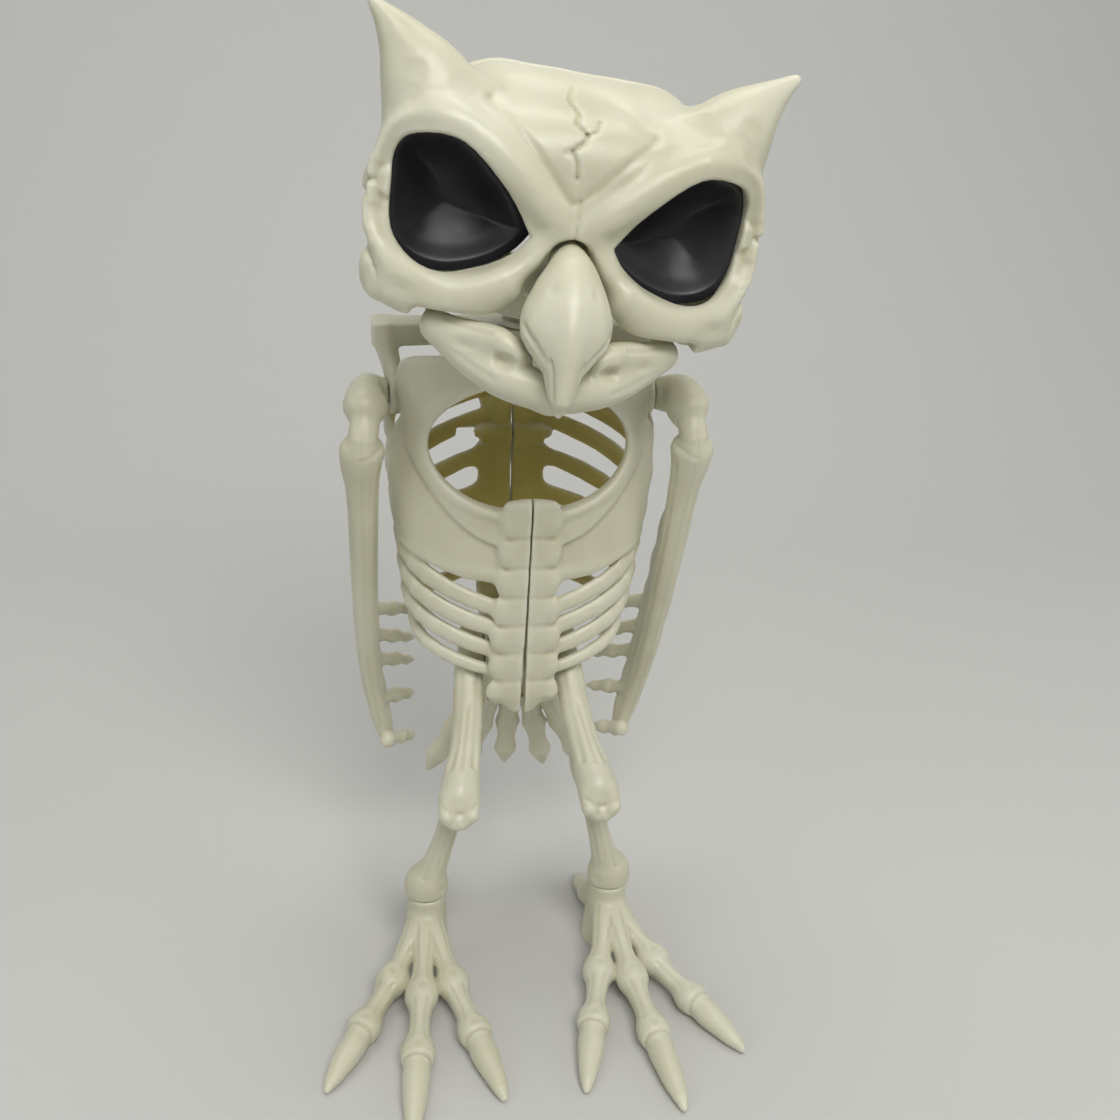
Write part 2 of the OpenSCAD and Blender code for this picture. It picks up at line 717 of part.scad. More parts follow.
module leg() {
    difference() {
        union() {
            bone([[17, 7, 117, 4, 4], [17, 4, 112, 4.4, 7], [18, -2, 105, 5.3, 5.5], [19.2, -13, 96, 5.4, 5],
                [21, -24, 88, 5.6, 5.2], [23.6, -34, 80, 6.8, 6], [24.6, -39.5, 74.5, 6, 5], [24.8, -42, 70.5, 3, 2]],
                3, 10);
            // shin, from the knob behind the knee to the bell at the ankle
            bone([[20.5, -18, 88, 2, 2], [21, -19, 84, 4.6, 4.6], [21.8, -21, 78, 5.2, 5.4], [23.5, -24, 70, 4.4, 4.6],
                [27, -25.5, 56, 3.8, 4], [30.5, -24.5, 42, 4.6, 4.4], [33, -23, 35, 6.8, 6],
                [33.8, -22.6, 31, 8, 7], [33.8, -22.6, ankle_z + 0.3, 7.6, 6.6]], 3, 10);
            bone([[24.2, -36, 79, 5, 5], [23.4, -29, 76, 5, 6], [22.4, -22, 76, 4, 5]], 2, 10);
            translate([12.6, hip[1], hip_z]) rotate([0, 90, 0]) cylinder(3, 6.6, 6.6, $fn = 40);
            translate([6.85, hip[1], hip_z]) rotate([0, 90, 0]) cylinder(9, peg_r, peg_r, $fn = 48);
            translate([ankle[0], ankle[1], 12.4]) cylinder(18, peg_r, peg_r, $fn = 48);
        }
        translate([6, hip[1], hip_z]) rotate([0, 90, 0]) cylinder(9, screw_r + fit, screw_r + fit, $fn = 24);
        translate([ankle[0], ankle[1], 10]) cylinder(12, screw_r + fit, screw_r + fit, $fn = 24);
    }
}

module leg_left() {
    color(bone_colour) leg();
}

module leg_right() {
    color(bone_colour) mirror([1, 0, 0]) leg();
}

module hip_washer() {
    translate([5.7, hip[1], hip_z]) rotate([0, 90, 0]) washer(4.6, 1.5, 1.1);
}

module hip_washer_left() {
    hip_washer();
}

module hip_washer_right() {
    mirror([1, 0, 0]) hip_washer();
}

module hip_screw() {
    translate([5.65, hip[1], hip_z]) rotate([0, -90, 0]) screw(2.6, 2, screw_r, 8);
}

module hip_screw_left() {
    hip_screw();
}

module hip_screw_right() {
    mirror([1, 0, 0]) hip_screw();
}

// ---- Foot: hub, three front toes with claws and one back toe ----

toe_tips = [[69.7, -85], [43.5, -106], [13.6, -95]];

// A toe as [share of its length, height of its middle, half-width, half-height]
front_toe = [[0, 19, 5, 5], [0.14, 14.5, 4.4, 4.4], [0.27, 10.4, 3.9, 4.2], [0.37, 7.8, 5.5, 5.4],
    [0.45, 6.6, 4, 4.3], [0.56, 5.8, 4, 4.2], [0.65, 5.3, 5.6, 5.2], [0.72, 4.7, 4.4, 4.4], [0.8, 4, 4.2, 3.9],
    [0.91, 2.6, 2.6, 2.5], [1, 1.2, 0.6, 0.6]];
back_toe = [[0, 17, 4.6, 4.6], [0.3, 10, 4, 4.2], [0.5, 6, 4.6, 4.6], [0.66, 4.4, 3.6, 3.6], [0.82, 3.2, 3, 2.8],
    [1, 1.2, 0.6, 0.6]];

module toe(tip, profile) {
    root = [ankle[0], ankle[1]];
    bone([for (p = profile) let (c = root + (tip - root) * p[0]) [c[0], c[1], p[1], p[2], p[3]]], 2, 8);
}

module foot() {
    difference() {
        union() {
            for (tip = toe_tips) toe(tip, front_toe);
            toe([29, 12], back_toe);
            translate([ankle[0], ankle[1], 12]) cylinder(ankle_z - 12 - air, 7.6, 6.6, $fn = 48);
            translate([ankle[0], ankle[1], 0]) cylinder(12 + tiny, 8.5, 7.6, $fn = 48);
        }
        translate([-50, -160, -20]) cube([200, 220, 20]);
        translate([ankle[0], ankle[1], 1]) cylinder(40, peg_r + fit, peg_r + fit, $fn = 48);
        translate([ankle[0], ankle[1], -1]) cylinder(12.6, 5.6, 5.6, $fn = 48);
    }
}

module foot_left() {
    color(bone_colour) foot();
}

module foot_right() {
    color(bone_colour) mirror([1, 0, 0]) foot();
}

module ankle_washer() {
    translate([ankle[0], ankle[1], 10.1]) washer(4.8, 1.5, 1.1);
}

module ankle_washer_left() {
    ankle_washer();
}

module ankle_washer_right() {
    mirror([1, 0, 0]) ankle_washer();
}

module ankle_screw() {
    translate([ankle[0], ankle[1], 10]) rotate([180, 0, 0]) screw(2.6, 2, screw_r, 9);
}

module ankle_screw_left() {
    ankle_screw();
}

module ankle_screw_right() {
    mirror([1, 0, 0]) ankle_screw();
}

translate(placement) ribcage_left();
translate(placement) ribcage_right();
translate(placement) ribcage_screws();
translate(placement) shoulder_yoke();
translate(placement) yoke_screws();
translate(placement) pelvis_left();
translate(placement) pelvis_right();
translate(placement) pelvis_screws();
translate(placement) tail_fan();
translate(placement) tail_screws();
translate(placement) neck_post();
translate(placement) neck_washer();
translate(placement) neck_screw();
translate(placement) skull_front();
translate(placement) skull_back();
translate(placement) skull_screws();
translate(placement) eye_liner_left();
translate(placement) eye_liner_right();
translate(placement) upper_beak();
translate(placement) head_core();
translate(placement) socket_cap();
translate(placement) core_screws();
translate(placement) lower_jaw();
translate(placement) jaw_pins();
translate(placement) wing_left();
translate(placement) shoulder_pin_left();
translate(placement) shoulder_washer_left();
translate(placement) shoulder_screw_left();
translate(placement) wing_right();
translate(placement) shoulder_pin_right();
translate(placement) shoulder_washer_right();
translate(placement) shoulder_screw_right();
translate(placement) leg_left();
translate(placement) hip_washer_left();
translate(placement) hip_screw_left();
translate(placement) leg_right();
translate(placement) hip_washer_right();
translate(placement) hip_screw_right();
translate(placement) foot_left();
translate(placement) ankle_washer_left();
translate(placement) ankle_screw_left();
translate(placement) foot_right();
translate(placement) ankle_washer_right();
translate(placement) ankle_screw_right();
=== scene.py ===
"""Owl skeleton figure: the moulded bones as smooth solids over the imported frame.

Every moulding is a distance field on its own grid, in millimetres, drawn about the figure's
symmetry plane, and then turned into a mesh in the row frame.
"""

import math

import bpy
import numpy as np
from mathutils import Matrix, Vector
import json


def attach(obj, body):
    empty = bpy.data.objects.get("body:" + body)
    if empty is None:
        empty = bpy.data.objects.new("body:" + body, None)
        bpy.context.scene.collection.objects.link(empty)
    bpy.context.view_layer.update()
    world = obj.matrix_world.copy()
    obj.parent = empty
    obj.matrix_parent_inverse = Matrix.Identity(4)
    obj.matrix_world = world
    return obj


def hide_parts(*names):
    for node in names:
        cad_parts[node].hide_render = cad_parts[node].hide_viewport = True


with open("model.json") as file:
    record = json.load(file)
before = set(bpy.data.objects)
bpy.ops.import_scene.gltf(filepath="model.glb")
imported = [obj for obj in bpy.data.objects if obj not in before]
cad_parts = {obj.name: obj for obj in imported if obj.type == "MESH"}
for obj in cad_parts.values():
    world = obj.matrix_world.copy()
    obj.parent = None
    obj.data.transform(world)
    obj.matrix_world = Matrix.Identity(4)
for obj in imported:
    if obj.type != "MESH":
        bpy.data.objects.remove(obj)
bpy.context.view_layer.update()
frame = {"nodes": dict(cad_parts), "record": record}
COARSE = 1.0
SHIFT_Y = 31.07
FAR = 9.0


# ---- Distance fields ----


def smin(a, b, k):
    if k <= 0:
        return np.minimum(a, b)
    h = np.maximum(k - np.abs(a - b), 0) / k
    return np.minimum(a, b) - h * h * k * 0.25


def smax(a, b, k):
    return -smin(-a, -b, k)


def unit(v):
    v = np.asarray(v, float)
    return v / np.linalg.norm(v)


def smooth_line(points, n):
    """Catmull-Rom points through the stations, n to a span."""
    p = np.asarray(points, float)
    m = len(p) - 1
    out = []
    for i in range(m):
        a, b, c, d = p[max(i - 1, 0)], p[i], p[i + 1], p[min(i + 2, m)]
        for k in range(n):
            t = k / n
            out.append(0.5 * (2 * b + (c - a) * t + (2 * a - 5 * b + 4 * c - d) * t * t
                              + (3 * b - a - 3 * c + d) * t ** 3))
    out.append(p[-1])
    return np.array(out)


class Ball:
    """Sphere or ellipsoid."""

    def __init__(self, p, r):
        self.p, self.r = np.asarray(p, float), np.broadcast_to(np.asarray(r, float), (3,))
        self.lo, self.hi = self.p - self.r, self.p + self.r

    def __call__(self, x, y, z):
        q = np.sqrt(((x - self.p[0]) / self.r[0]) ** 2 + ((y - self.p[1]) / self.r[1]) ** 2
                    + ((z - self.p[2]) / self.r[2]) ** 2)
        return (q - 1) * self.r.min()


class Slab:
    """Box with rounded edges: middle, half sizes, edge radius."""

    def __init__(self, p, half, r=1.0):
        self.p, self.half, self.r = np.asarray(p, float), np.asarray(half, float), r
        self.lo, self.hi = self.p - self.half, self.p + self.half

    def __call__(self, x, y, z):
        q = [np.abs(v - self.p[i]) - self.half[i] + self.r for i, v in enumerate((x, y, z))]
        out = np.sqrt(sum(np.maximum(v, 0) ** 2 for v in q))
        return out + np.minimum(np.maximum(np.maximum(q[0], q[1]), q[2]), 0) - self.r


class Rod:
    """Cylinder between two points, its ends rounded by edge; radii may differ."""

    def __init__(self, a, b, ra, rb=None, edge=0.0):
        self.a, self.b, self.ra, self.rb, self.edge = (np.asarray(a, float), np.asarray(b, float), ra,
                                                       ra if rb is None else rb, edge)
        reach = max(self.ra, self.rb)
        self.lo, self.hi = np.minimum(self.a, self.b) - reach, np.maximum(self.a, self.b) + reach

    def __call__(self, x, y, z):
        ab = self.b - self.a
        length = np.linalg.norm(ab)
        e = ab / length
        px, py, pz = x - self.a[0], y - self.a[1], z - self.a[2]
        s = px * e[0] + py * e[1] + pz * e[2]
        rad = np.sqrt(np.maximum(px * px + py * py + pz * pz - s * s, 0))
        r = self.ra + (self.rb - self.ra) * np.clip(s / length, 0, 1)
        u, v = rad - r + self.edge, np.abs(s - length / 2) - length / 2 + self.edge
        return np.sqrt(np.maximum(u, 0) ** 2 + np.maximum(v, 0) ** 2) + np.minimum(np.maximum(u, v), 0) - self.edge


class Bone:
    """Swept ellipse through stations [x, y, z, half-width along side, half-depth across it]."""

    def __init__(self, stations, steps=3, side=(1, 0, 0), grow=0.0):
        q = smooth_line(stations, steps)
        q[:, 3:] = np.maximum(q[:, 3:] + grow, 0.25)
        self.q, self.side = q, np.asarray(side, float)
        reach = q[:, 3:].max(1)[:, None]
        self.lo, self.hi = (q[:, :3] - reach).min(0), (q[:, :3] + reach).max(0)

    def fill(self, field, window, pad):
        """The bone's own field over a window, each span worked out only near itself."""
        out = np.full(field.f[window].shape, FAR, np.float32)
        start = [s.start for s in window]
        for a, b in zip(self.q[:-1], self.q[1:]):
            ab = b[:3] - a[:3]
            length = np.linalg.norm(ab)
            if length < 1e-6:
                continue
            e = ab / length
            u = self.side - e * (self.side @ e)
            if np.linalg.norm(u) < 1e-3:
                u = np.cross(e, (0.3, 0.2, 0.9))
            u = unit(u)
            v = np.cross(e, u)
            reach = max(a[3:].max(), b[3:].max()) + pad
            near = field.window(np.minimum(a[:3], b[:3]) - reach, np.maximum(a[:3], b[:3]) + reach)
            near = tuple(slice(max(n.start, w.start), min(n.stop, w.stop)) for n, w in zip(near, window))
            if any(n.stop <= n.start for n in near):
                continue
            x, y, z = field.points(near)
            px, py, pz = x - a[0], y - a[1], z - a[2]
            t = np.clip((px * e[0] + py * e[1] + pz * e[2]) / length, 0, 1)
            px, py, pz = px - ab[0] * t, py - ab[1] * t, pz - ab[2] * t
            w, d = a[3] + (b[3] - a[3]) * t, a[4] + (b[4] - a[4]) * t
            m = np.minimum(w, d)
            r = np.sqrt(((px * u[0] + py * u[1] + pz * u[2]) / w) ** 2
                        + ((px * v[0] + py * v[1] + pz * v[2]) / d) ** 2
                        + ((px * e[0] + py * e[1] + pz * e[2]) / m) ** 2)
            local = tuple(slice(n.start - s, n.stop - s) for n, s in zip(near, start))
            out[local] = np.minimum(out[local], (r - 1) * m)
        return out


class Field:
    def __init__(self, lo, hi, h):
        self.h = h * COARSE
        self.lo = np.asarray(lo, float) - 2 * self.h
        self.n = np.ceil((np.asarray(hi, float) + 2 * self.h - self.lo) / self.h).astype(int) + 1
        self.f = np.full(self.n, FAR, np.float32)

    def window(self, lo, hi):
        a = np.clip(np.floor((np.asarray(lo) - self.lo) / self.h).astype(int), 0, self.n)
        b = np.clip(np.ceil((np.asarray(hi) - self.lo) / self.h).astype(int) + 1, 0, self.n)
        return tuple(slice(int(p), int(max(p, q))) for p, q in zip(a, b))

    def points(self, window):
        out = []
        for i in range(3):
            v = (self.lo[i] + self.h * np.arange(window[i].start, window[i].stop)).astype(np.float32)
            out.append(v.reshape([-1 if j == i else 1 for j in range(3)]))
        return out

    def all(self):
        return self.points(tuple(slice(0, int(n)) for n in self.n))

    def value(self, shape, k):
        pad = k + 2.5 * self.h
        window = self.window(shape.lo - pad, shape.hi + pad)
        if any(s.stop <= s.start for s in window):
            return window, None
        if isinstance(shape, Bone):
            return window, shape.fill(self, window, pad)
        return window, np.broadcast_to(shape(*self.points(window)), self.f[window].shape)

    def add(self, shapes, k=1.0):
        for s in shapes if isinstance(shapes, (list, tuple)) else [shapes]:
            window, d = self.value(s, k)
            if d is not None:
                self.f[window] = smin(self.f[window], d, k)
        return self

    def cut(self, shapes, k=0.4):
        for s in shapes if isinstance(shapes, (list, tuple)) else [shapes]:
            window, d = self.value(s, k)
            if d is not None:
                self.f[window] = smax(self.f[window], -d, k)
        return self

    def keep(self, d, k=0.3):
        self.f = smax(self.f, np.broadcast_to(d, self.f.shape), k).astype(np.float32)
        return self

    def press(self, shape, depth, power=1.0):
        """Shallow hollow (or swelling where depth is negative) round a shape's middle."""
        window, d = self.value(shape, 0)
        if d is not None:
            r = float(np.min(shape.r)) if isinstance(shape, Ball) else 1.0
            self.f[window] += depth * np.clip(-d / r, 0, 1) ** power
        return self

    def groove(self, line, w, depth):
        """Fine groove along a line on the surface."""
        line = np.asarray(line, float)
        s = Bone([list(p) + [w, w] for p in line], 1)
        window, d = self.value(s, 0)
        if d is not None:
            self.f[window] += depth * np.clip(-d / w, 0, 1) ** 0.8
        return self

    def ripple(self, size, depth, seed):
        """Soft unevenness from a few seeded waves."""
        rng = np.random.default_rng(seed)
        x, y, z = self.all()
        for _ in range(5):
            d = unit(rng.normal(size=3)) * 2 * math.pi / size * rng.uniform(0.7, 1.5)
            p = rng.uniform(0, 6.28)
            self.f += (depth / 5 * np.sin(x * d[0] + y * d[1] + z * d[2] + p)).astype(np.float32)
        return self

    def trim(self, lo, hi, axis, side, at, k):
        """Cut flat inside one box: side 1 takes what lies above `at` on the axis, -1 what lies below."""
        w = self.window(lo, hi)
        p = self.points(w)[axis]
        self.f[w] = smax(self.f[w], np.broadcast_to(side * (p - at), self.f[w].shape), k)

    def copy(self):
        out = object.__new__(Field)
        out.h, out.lo, out.n, out.f = self.h, self.lo, self.n, self.f.copy()
        return out

    def mesh(self):
        """Surface nets: one vertex in each crossed cell, one quad across each crossed edge."""
        f = self.f.copy()
        f[[0, -1]] = f[:, [0, -1]] = f[:, :, [0, -1]] = FAR
        f[np.abs(f) < 1e-6] = 1e-6
        s = f < 0
        count = np.zeros(tuple(np.array(f.shape) - 1), np.int8)
        corners = [(i, j, k) for i in (0, 1) for j in (0, 1) for k in (0, 1)]
        for c in corners:
            count += s[tuple(slice(v, f.shape[a] - 1 + v) for a, v in enumerate(c))]
        cells = np.argwhere((count > 0) & (count < 8))
        index = np.full(count.shape, -1, np.int64)
        index[tuple(cells.T)] = np.arange(len(cells))
        total, hits = np.zeros((len(cells), 3)), np.zeros(len(cells))
        for a in range(3):
            for c in corners:
                if c[a]:
                    continue
                d = list(c)
                d[a] = 1
                f0, f1 = f[tuple((cells + c).T)], f[tuple((cells + d).T)]
                m = (f0 < 0) != (f1 < 0)
                t = f0[m] / (f0[m] - f1[m])
                p = np.tile(np.array(c, float), (m.sum(), 1))
                p[:, a] = t
                total[m] += p
                hits[m] += 1
        verts = self.lo + (cells + total / hits[:, None]) * self.h
        quads = []
        for a in range(3):
            lo = [slice(1, -1)] * 3
            lo[a] = slice(0, -1)
            hi = [slice(1, -1)] * 3
            hi[a] = slice(1, None)
            s0, s1 = s[tuple(lo)], s[tuple(hi)]
            at = np.argwhere(s0 != s1)
            inside = s0[tuple(at.T)]
            at += [0 if i == a else 1 for i in range(3)]
            b, c = (a + 1) % 3, (a + 2) % 3
            eb, ec = np.eye(3, dtype=int)[b], np.eye(3, dtype=int)[c]
            q = np.stack([index[tuple((at - db - dc).T)] for db, dc in
                          ((eb, ec), (0 * eb, ec), (0 * eb, 0 * ec), (eb, 0 * ec))], 1)
            q[~inside] = q[~inside][:, ::-1]
            quads.append(q)
        return verts, np.concatenate(quads)


def relax(verts, quads, rounds=2):
    """A few Taubin steps take the grid's stair out of the surface."""
    e = np.concatenate([quads[:, [0, 1]], quads[:, [1, 2]], quads[:, [2, 3]], quads[:, [3, 0]]])
    n = len(verts)
    deg = np.bincount(e[:, 0], minlength=n).astype(float)
    for _ in range(rounds):
        for amount in (0.5, -0.53):
            mean = np.stack([np.bincount(e[:, 0], verts[e[:, 1], i], n) for i in range(3)], 1)
            verts = verts + amount * (mean / np.maximum(deg, 1)[:, None] - verts)
    return verts


def hollow_values(verts, quads):
    """How far each vertex lies in a hollow (below 0) or on an edge (above 0)."""
    p = verts[quads]
    face = np.cross(p[:, 2] - p[:, 0], p[:, 3] - p[:, 1])
    n = len(verts)
    normal = np.stack([sum(np.bincount(quads[:, j], face[:, i], n) for j in range(4)) for i in range(3)], 1)
    normal /= np.maximum(np.linalg.norm(normal, axis=1), 1e-9)[:, None]
    e = np.concatenate([quads[:, [0, 1]], quads[:, [1, 2]], quads[:, [2, 3]], quads[:, [3, 0]]])
    deg = np.maximum(np.bincount(e[:, 0], minlength=n), 1)
    mean = np.stack([np.bincount(e[:, 0], verts[e[:, 1], i], n) for i in range(3)], 1) / deg[:, None]
    bend = ((verts - mean) * normal).sum(1)
    for _ in range(6):
        bend = 0.5 * bend + 0.5 * np.bincount(e[:, 0], bend[e[:, 1]], n) / deg
    return np.clip(bend / 0.05, -1, 1), normal


HEAD = (Matrix.Translation((0, 18, 236)) @ Matrix.Rotation(math.radians(7), 4, "Y")
        @ Matrix.Translation((0, -56.4, 26.5)))


def piece(name, verts, quads, body, slot, replaced, head=False, mirrored=False, inner_shade=None):
    v = verts.copy()
    q = quads
    bend, normal = hollow_values(v, q)
    if mirrored:
        v[:, 0] *= -1
        q = q[:, ::-1]
    if head:
        m = np.array(HEAD)
        v = v @ m[:3, :3].T + m[:3, 3]
    v = (v + [0, SHIFT_Y, 0]) / 1000
    me = bpy.data.meshes.new(name)
    me.vertices.add(len(v))
    me.vertices.foreach_set("co", v.astype(np.float32).ravel())
    me.loops.add(q.size)
    me.loops.foreach_set("vertex_index", q.astype(np.int32).ravel())
    me.polygons.add(len(q))
    me.polygons.foreach_set("loop_start", np.arange(0, q.size, 4, dtype=np.int32))
    me.update(calc_edges=True)
    me.polygons.foreach_set("use_smooth", np.ones(len(q), bool))
    a = me.attributes.new("bend", "FLOAT", "POINT")
    a.data.foreach_set("value", bend.astype(np.float32))
    # painted shade weight per vertex, zero unless a function for it is given
    a = me.attributes.new("inner_shade", "FLOAT", "POINT")
    a.data.foreach_set("value", (np.zeros(len(v)) if inner_shade is None else inner_shade(verts, normal)).astype(np.float32))
    me.materials.append(MATERIALS[slot])
    o = bpy.data.objects.new(name, me)
    bpy.context.scene.collection.objects.link(o)
    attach(o, body)
    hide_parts(*replaced)
    return o


# ---- Materials ----


def nodes_of(name):
    m = bpy.data.materials.new(name)
    m.use_nodes = True
    t = m.node_tree
    return m, t, t.nodes, t.nodes["Principled BSDF"], t.links.new


def ramp(nodes, stops):
    r = nodes.new("ShaderNodeValToRGB")
    e = r.color_ramp.elements
    e[0].position, e[0].color = stops[0][0], (*stops[0][1], 1)
    e[1].position, e[1].color = stops[-1][0], (*stops[-1][1], 1)
    for p, c in stops[1:-1]:
        e.new(p).color = (*c, 1)
    return r


def noise(nodes, scale, detail=3.0, rough=0.5):
    n = nodes.new("ShaderNodeTexNoise")
    n.inputs["Scale"].default_value = scale
    n.inputs["Detail"].default_value = detail
    n.inputs["Roughness"].default_value = rough
    return n


def mix(nodes, link, factor, a, b, kind="MIX"):
    m = nodes.new("ShaderNodeMix")
    m.data_type, m.blend_type = "RGBA", kind
    for socket, value in ((m.inputs[0], factor), (m.inputs[6], a), (m.inputs[7], b)):
        if isinstance(value, bpy.types.NodeSocket):
            link(value, socket)
        elif isinstance(value, (int, float)):
            socket.default_value = value
        else:
            socket.default_value = (*value, 1)
    return m.outputs[2]


def scaled(nodes, link, value, low, high, to_low=0.0, to_high=1.0):
    m = nodes.new("ShaderNodeMapRange")
    for i, v in enumerate((low, high, to_low, to_high)):
        m.inputs[i + 1].default_value = v
    link(value, m.inputs[0])
    return m.outputs[0]


def bone_plastic():
    m, _, nodes, bsdf, link = nodes_of("bone_plastic")
    where = nodes.new("ShaderNodeTexCoord").outputs["Object"]
    broad, fine = noise(nodes, 26.0), noise(nodes, 420.0, 4.0, 0.6)
    link(where, broad.inputs["Vector"])
    link(where, fine.inputs["Vector"])
    tone = ramp(nodes, [(0.3, (0.560, 0.545, 0.400)), (0.5, (0.620, 0.605, 0.462)), (0.72, (0.665, 0.652, 0.525))])
    link(broad.outputs["Fac"], tone.inputs[0])
    bend = nodes.new("ShaderNodeAttribute")
    bend.attribute_name = "bend"
    # painted shade: hollows, where bend is below zero, are darkened towards olive
    low = scaled(nodes, link, bend.outputs["Fac"], -0.1, -0.9, 0.0, 0.55)
    colour = mix(nodes, link, low, tone.outputs[0], (0.430, 0.385, 0.215))
    # painted highlight: edges, where bend is above zero, are lightened towards pale ivory
    high = scaled(nodes, link, bend.outputs["Fac"], 0.15, 0.9, 0.0, 0.4)
    colour = mix(nodes, link, high, colour, (0.760, 0.750, 0.640))
    # painted shade: this weight tints the surfaces inside the rib cage towards a darker amber
    inner_shade = nodes.new("ShaderNodeAttribute")
    inner_shade.attribute_name = "inner_shade"
    colour = mix(nodes, link, inner_shade.outputs["Fac"], colour, (0.560, 0.475, 0.150))
    link(colour, bsdf.inputs["Base Color"])
    link(scaled(nodes, link, fine.outputs["Fac"], 0.3, 0.7, 0.3, 0.42), bsdf.inputs["Roughness"])
    bsdf.inputs["IOR"].default_value = 1.49
    bsdf.inputs["Subsurface Weight"].default_value = 0.3
    bsdf.inputs["Subsurface Radius"].default_value = (1.0, 0.85, 0.45)
    bsdf.inputs["Subsurface Scale"].default_value = 0.004
    bump = nodes.new("ShaderNodeBump")
    bump.inputs["Strength"].default_value = 0.12
    bump.inputs["Distance"].default_value = 0.0006
    flow = noise(nodes, 90.0, 3.0, 0.55)
    link(where, flow.inputs["Vector"])
    link(flow.outputs["Fac"], bump.inputs["Height"])
    link(bump.outputs[0], bsdf.inputs["Normal"])
    return m


def black_liner():
    m, _, nodes, bsdf, link = nodes_of("black_liner")
    where = nodes.new("ShaderNodeTexCoord").outputs["Object"]
    n = noise(nodes, 60.0, 3.0)
    link(where, n.inputs["Vector"])
    tone = ramp(nodes, [(0.3, (0.010, 0.010, 0.013)), (0.8, (0.022, 0.022, 0.027))])
    link(n.outputs["Fac"], tone.inputs[0])
    link(tone.outputs[0], bsdf.inputs["Base Color"])
    link(scaled(nodes, link, n.outputs["Fac"], 0.3, 0.7, 0.36, 0.5), bsdf.inputs["Roughness"])
    return m


def steel():
    m, _, nodes, bsdf, link = nodes_of("steel")
    where = nodes.new("ShaderNodeTexCoord").outputs["Object"]
    n = noise(nodes, 700.0, 4.0)
    link(where, n.inputs["Vector"])
    tone = ramp(nodes, [(0.3, (0.42, 0.42, 0.41)), (0.75, (0.60, 0.60, 0.58))])
    link(n.outputs["Fac"], tone.inputs[0])
    link(tone.outputs[0], bsdf.inputs["Base Color"])
    bsdf.inputs["Metallic"].default_value = 1.0
    link(scaled(nodes, link, n.outputs["Fac"], 0.3, 0.7, 0.25, 0.45), bsdf.inputs["Roughness"])
    return m


MATERIALS = {"bone_plastic": bone_plastic(), "black_liner": black_liner(), "steel": steel()}
slot_of = {s["node"]: s["material_slot"] for s in frame["record"]["subparts"]}
for name, o in frame["nodes"].items():
    o.data.materials.clear()
    o.data.materials.append(MATERIALS[slot_of[name]])


# ---- Rib cage ----

CAGE_W = ([97, 115, 135, 160, 180, 200, 222], [30, 37, 41.5, 44, 46.5, 46.5, 45.5])
CAGE_F = ([97, 115, 145, 172, 200, 222], [-10, -12, -14, -13, -5, 2])
CAGE_B = ([97, 115, 135, 160, 190, 222], [24, 30, 35, 39, 43, 43])
POWER = 2 / 0.86


def along(table, z):
    return sum(np.interp(z + d, *table) for d in (-6, -3, 0, 3, 6)) / 5


def cage_distance(x, y, z):
    w, front, back = along(CAGE_W, z), along(CAGE_F, z), along(CAGE_B, z)
    mid, deep = (front + back) / 2, (back - front) / 2
    g = ((np.abs(x) / w) ** POWER + (np.abs(y - mid) / deep) ** POWER) ** (1 / POWER)
    return np.sqrt(x * x + (y - mid) ** 2) * (1 - 1 / np.maximum(g, 1e-3))


def cage_point(angle, z, grow=0.0):
    a = math.radians(angle)
    w, front, back = along(CAGE_W, z) + grow, along(CAGE_F, z) - grow, along(CAGE_B, z) + grow
    bent = lambda s: math.copysign(abs(s) ** 0.86, s)
    return [w * bent(math.sin(a)), (front + back) / 2 - (back - front) / 2 * bent(math.cos(a)), z]


def front_y(x, z):
    front, back, w = along(CAGE_F, z), along(CAGE_B, z), along(CAGE_W, z)
    s = min(abs(x) / w, 0.999) ** (1 / 0.86)
    return (front + back) / 2 - (back - front) / 2 * (1 - s * s) ** 0.43


def outline(x, z, points):
    """Signed distance to a closed polygon in a plane."""
    p = np.asarray(points, float)
    d = np.full(np.broadcast(x, z).shape, 1e9)
    inside = np.zeros(d.shape, bool)
    for a, b in zip(p, np.roll(p, -1, 0)):
        e = b - a
        wx, wz = x - a[0], z - a[1]
        t = np.clip((wx * e[0] + wz * e[1]) / (e @ e), 0, 1)
        d = np.minimum(d, (wx - e[0] * t) ** 2 + (wz - e[1] * t) ** 2)
        with np.errstate(divide="ignore", invalid="ignore"):
            cross = ((a[1] > z) != (b[1] > z)) & (x < (b[0] - a[0]) * (z - a[1]) / (b[1] - a[1] + 1e-12) + a[0])
        inside ^= cross
    return np.where(inside, -np.sqrt(d), np.sqrt(d))


PLATE = [[-20, 146], [0, 146], [12, 146], [21, 147], [28.5, 150], [35, 154], [50, 163], [50, 186], [44, 195],
         [40.5, 199], [40.5, 203], [43, 207], [44.3, 212], [43.5, 215.5], [40, 217.5], [20, 219.5], [0, 220],
         [-20, 220]]
COLLAR = [[-20, 158.5], [0, 158.5], [10.5, 160], [19, 163.5], [27, 170.5], [33.2, 178], [39, 187.5], [40.8, 197],
          [43, 207], [43.8, 212.5], [42.8, 215.6], [39.5, 217.3], [20, 219.5], [0, 220], [-20, 220]]
HOLE = (191.5, 33.0, 20.0)


def rib_field(shape_z, a0, a1, high=7.0, deep=3.8):
    z0, z1, z2 = shape_z
    stations = []
    for s in range(13):
        a = a0 + (a1 - a0) * s / 12
        t = a / 180
        z = z0 * (1 - t) * (1 - 2 * t) + z1 * 4 * t * (1 - t) + z2 * t * (2 * t - 1)
        taper = 1 - 0.18 * abs(2 * s / 12 - 1) ** 3
        stations.append(cage_point(a, z, -deep / 2) + [high / 2 * taper, deep / 2])
    return Bone(stations, 1, (0, 0, 1))


